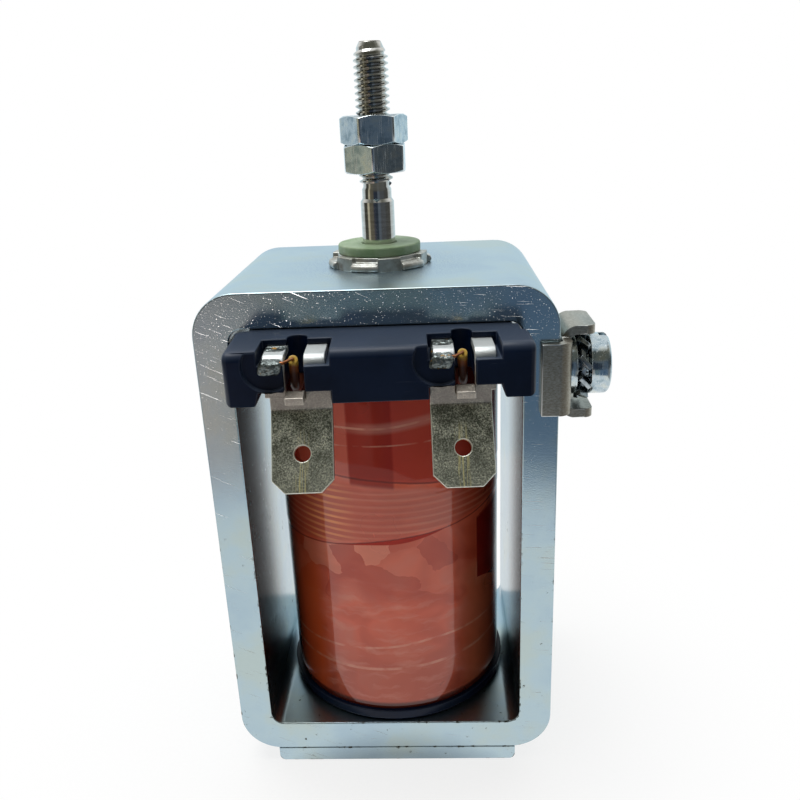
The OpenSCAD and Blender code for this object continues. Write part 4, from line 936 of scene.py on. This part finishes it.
# %% Piece: earth screw
low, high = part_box("earth_screw")
middle = (low + high) / 2
head_height, core_r = 2.3, 1.6
screw_root, screw_crest = 1.55, 1.95
thread_start, thread_run = 7.4, 6.8
head_x = high.x / MM - head_height
shape = rounded_copy("earth_screw", 0.1)
wind = bmesh.new()
wind_thread(wind, screw_root, screw_crest, thread_pitch, head_x - thread_start, thread_run / thread_pitch)
bmesh.ops.rotate(wind, verts=wind.verts, cent=(0, 0, 0), matrix=Matrix.Rotation(math.radians(90), 3, "Y"))
bmesh.ops.translate(wind, verts=wind.verts, vec=(0, middle.y, middle.z))
for vert in shape.verts:
    across = vert.co - Vector((vert.co.x, middle.y, middle.z))
    if vert.co.x / MM < head_x - 0.6 and across.length > core_r * MM:
        vert.co -= across * (1 - core_r * MM / across.length)
ridge = bpy.data.meshes.new("ridge")
wind.to_mesh(ridge)
wind.free()
shape.from_mesh(ridge)
bpy.data.meshes.remove(ridge)
finish_piece(shape, "earth_screw_plated", bright_zinc, "earth_screw")

# %% [markdown]
# ## Earth clamp and lock washer
# The clamp is folded from nickel plated strip with a brushed, slightly olive face. The lock washer is
# hardened steel with twisted teeth that flash bright and dark by turns. Both keep their solids' shapes
# with small roundings.

# %% Material and piece: nickel plated strip
nickel, tree, shader, place = start_material("nickel plated strip", Metallic=1.0)
grain_map = add(tree, "Mapping", {"Vector": place, "Scale": (per(0.3), per(0.3), per(0.12))})
grain = add(tree, "TexNoise", {"Vector": grain_map, "Scale": 1.0, "Detail": 3, "Roughness": 0.7})
tone = add(tree, "ValToRGB", {"Fac": grain}, [(0.34, "#8b8576"), (0.52, "#a09b8e"), (0.68, "#b2afa4")])
edge = add(tree, "Attribute", attribute_name="edge", out="Fac")
bright = add(tree, "Mix", {FACTOR: edge, COLOUR_A: tone, COLOUR_B: srgb("#dcdfdc")},
             data_type="RGBA", out=COLOUR)
join(shader, Base_Color=bright)
gloss = add(tree, "MapRange", {"Value": grain, "To Min": 0.26, "To Max": 0.44})
join(shader, Roughness=gloss)
bump = add(tree, "Bump", {"Strength": 0.5, "Distance": 0.02 * MM, "Height": grain})
join(shader, Normal=bump)
shape = merged_copy("earth_clamp")
round_edges(shape, [e for e in sharp_edges(shape) if e.calc_length() > 0.9 * MM], 0.1, 3)
finish_piece(shape, "earth_clamp_folded", nickel, "earth_clamp")

# %% Material and piece: hardened steel
hardened, tree, shader, place = start_material("hardened spring steel", Metallic=1.0)
scale_noise = add(tree, "TexNoise", {"Vector": place, "Scale": per(0.9), "Detail": 4})
tone = add(tree, "ValToRGB", {"Fac": scale_noise}, [(0.35, "#7f878d"), (0.65, "#b9c2c6")])
join(shader, Base_Color=tone)
gloss = add(tree, "MapRange", {"Value": scale_noise, "To Min": 0.16, "To Max": 0.36})
join(shader, Roughness=gloss)
shape = rounded_copy("earth_lock_washer", 0.04, clamp=True)
finish_piece(shape, "lock_washer_toothed", hardened, "earth_lock_washer")

# %% [markdown]
# ## Return spring
# The spring sits out of sight in the core's chamber and shortens as the plunger rises, when 6 mm of its
# 21.7 mm go, so 72% is kept. A wire circle spun with a rise makes it, as for the thread, and it gets a mesh
# of its own.

# %% Piece: return spring
low, high = (corner.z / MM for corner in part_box("return_spring"))
wire, coils, steps = 0.7, 9, 24
shape = bmesh.new()
bmesh.ops.create_circle(shape, cap_ends=False, segments=10, radius=wire / 2 * MM)
bmesh.ops.rotate(shape, verts=shape.verts, cent=(0, 0, 0), matrix=Matrix.Rotation(math.radians(90), 3, "X"))
bmesh.ops.translate(shape, verts=shape.verts, vec=(3.0 * MM, 0, (low + wire / 2) * MM))
ring = shape.edges[:]
made = bmesh.ops.spin(shape, geom=shape.verts[:] + ring, axis=(0, 0, 1), cent=(0, 0, 0),
                      angle=math.tau * coils, steps=coils * steps,
                      dvec=(0, 0, (high - low - wire) / coils / steps * MM))
last = [e for e in made["geom_last"] if isinstance(e, bmesh.types.BMEdge)]
bmesh.ops.contextual_create(shape, geom=ring)
bmesh.ops.contextual_create(shape, geom=last)
bmesh.ops.recalc_face_normals(shape, faces=shape.faces)
spring = finish_piece(shape, "return_spring_wound", hardened, "return_spring", flats=False)
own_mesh(spring)

# %% [markdown]
# ## Pieces out of sight
# The guide tube, the bush, the anti-stick washer and the winding keep their solids. They still get the
# finish of their metal, because the part may be opened up: drawn brass, oiled bronze and enamelled wire.

# %% Materials: drawn brass, oiled bronze and enamelled wire
for name, dark, pale, rough, nodes in (
        ("drawn brass", "#a5823f", "#cfae66", 0.3, ("guide_tube", "anti_stick_washer")),
        ("oiled sintered bronze", "#6f4c2c", "#93683c", 0.5, ("rod_bush",)),
        ("enamelled copper wire", "#6d2a14", "#9a4526", 0.3, ("coil_winding",))):
    metal, tree, shader, place = start_material(name, Metallic=1.0, Roughness=rough)
    drawn = add(tree, "Mapping", {"Vector": place, "Scale": (per(3), per(3), per(0.45))})
    drawn_noise = add(tree, "TexNoise", {"Vector": drawn, "Scale": 1.0, "Detail": 3})
    tone = add(tree, "ValToRGB", {"Fac": drawn_noise}, [(0.3, dark), (0.7, pale)])
    join(shader, Base_Color=tone)
    for node in nodes:
        data = frame["nodes"][node].data
        data.materials.clear()
        data.materials.append(metal)
    print(name, "on", ", ".join(nodes))
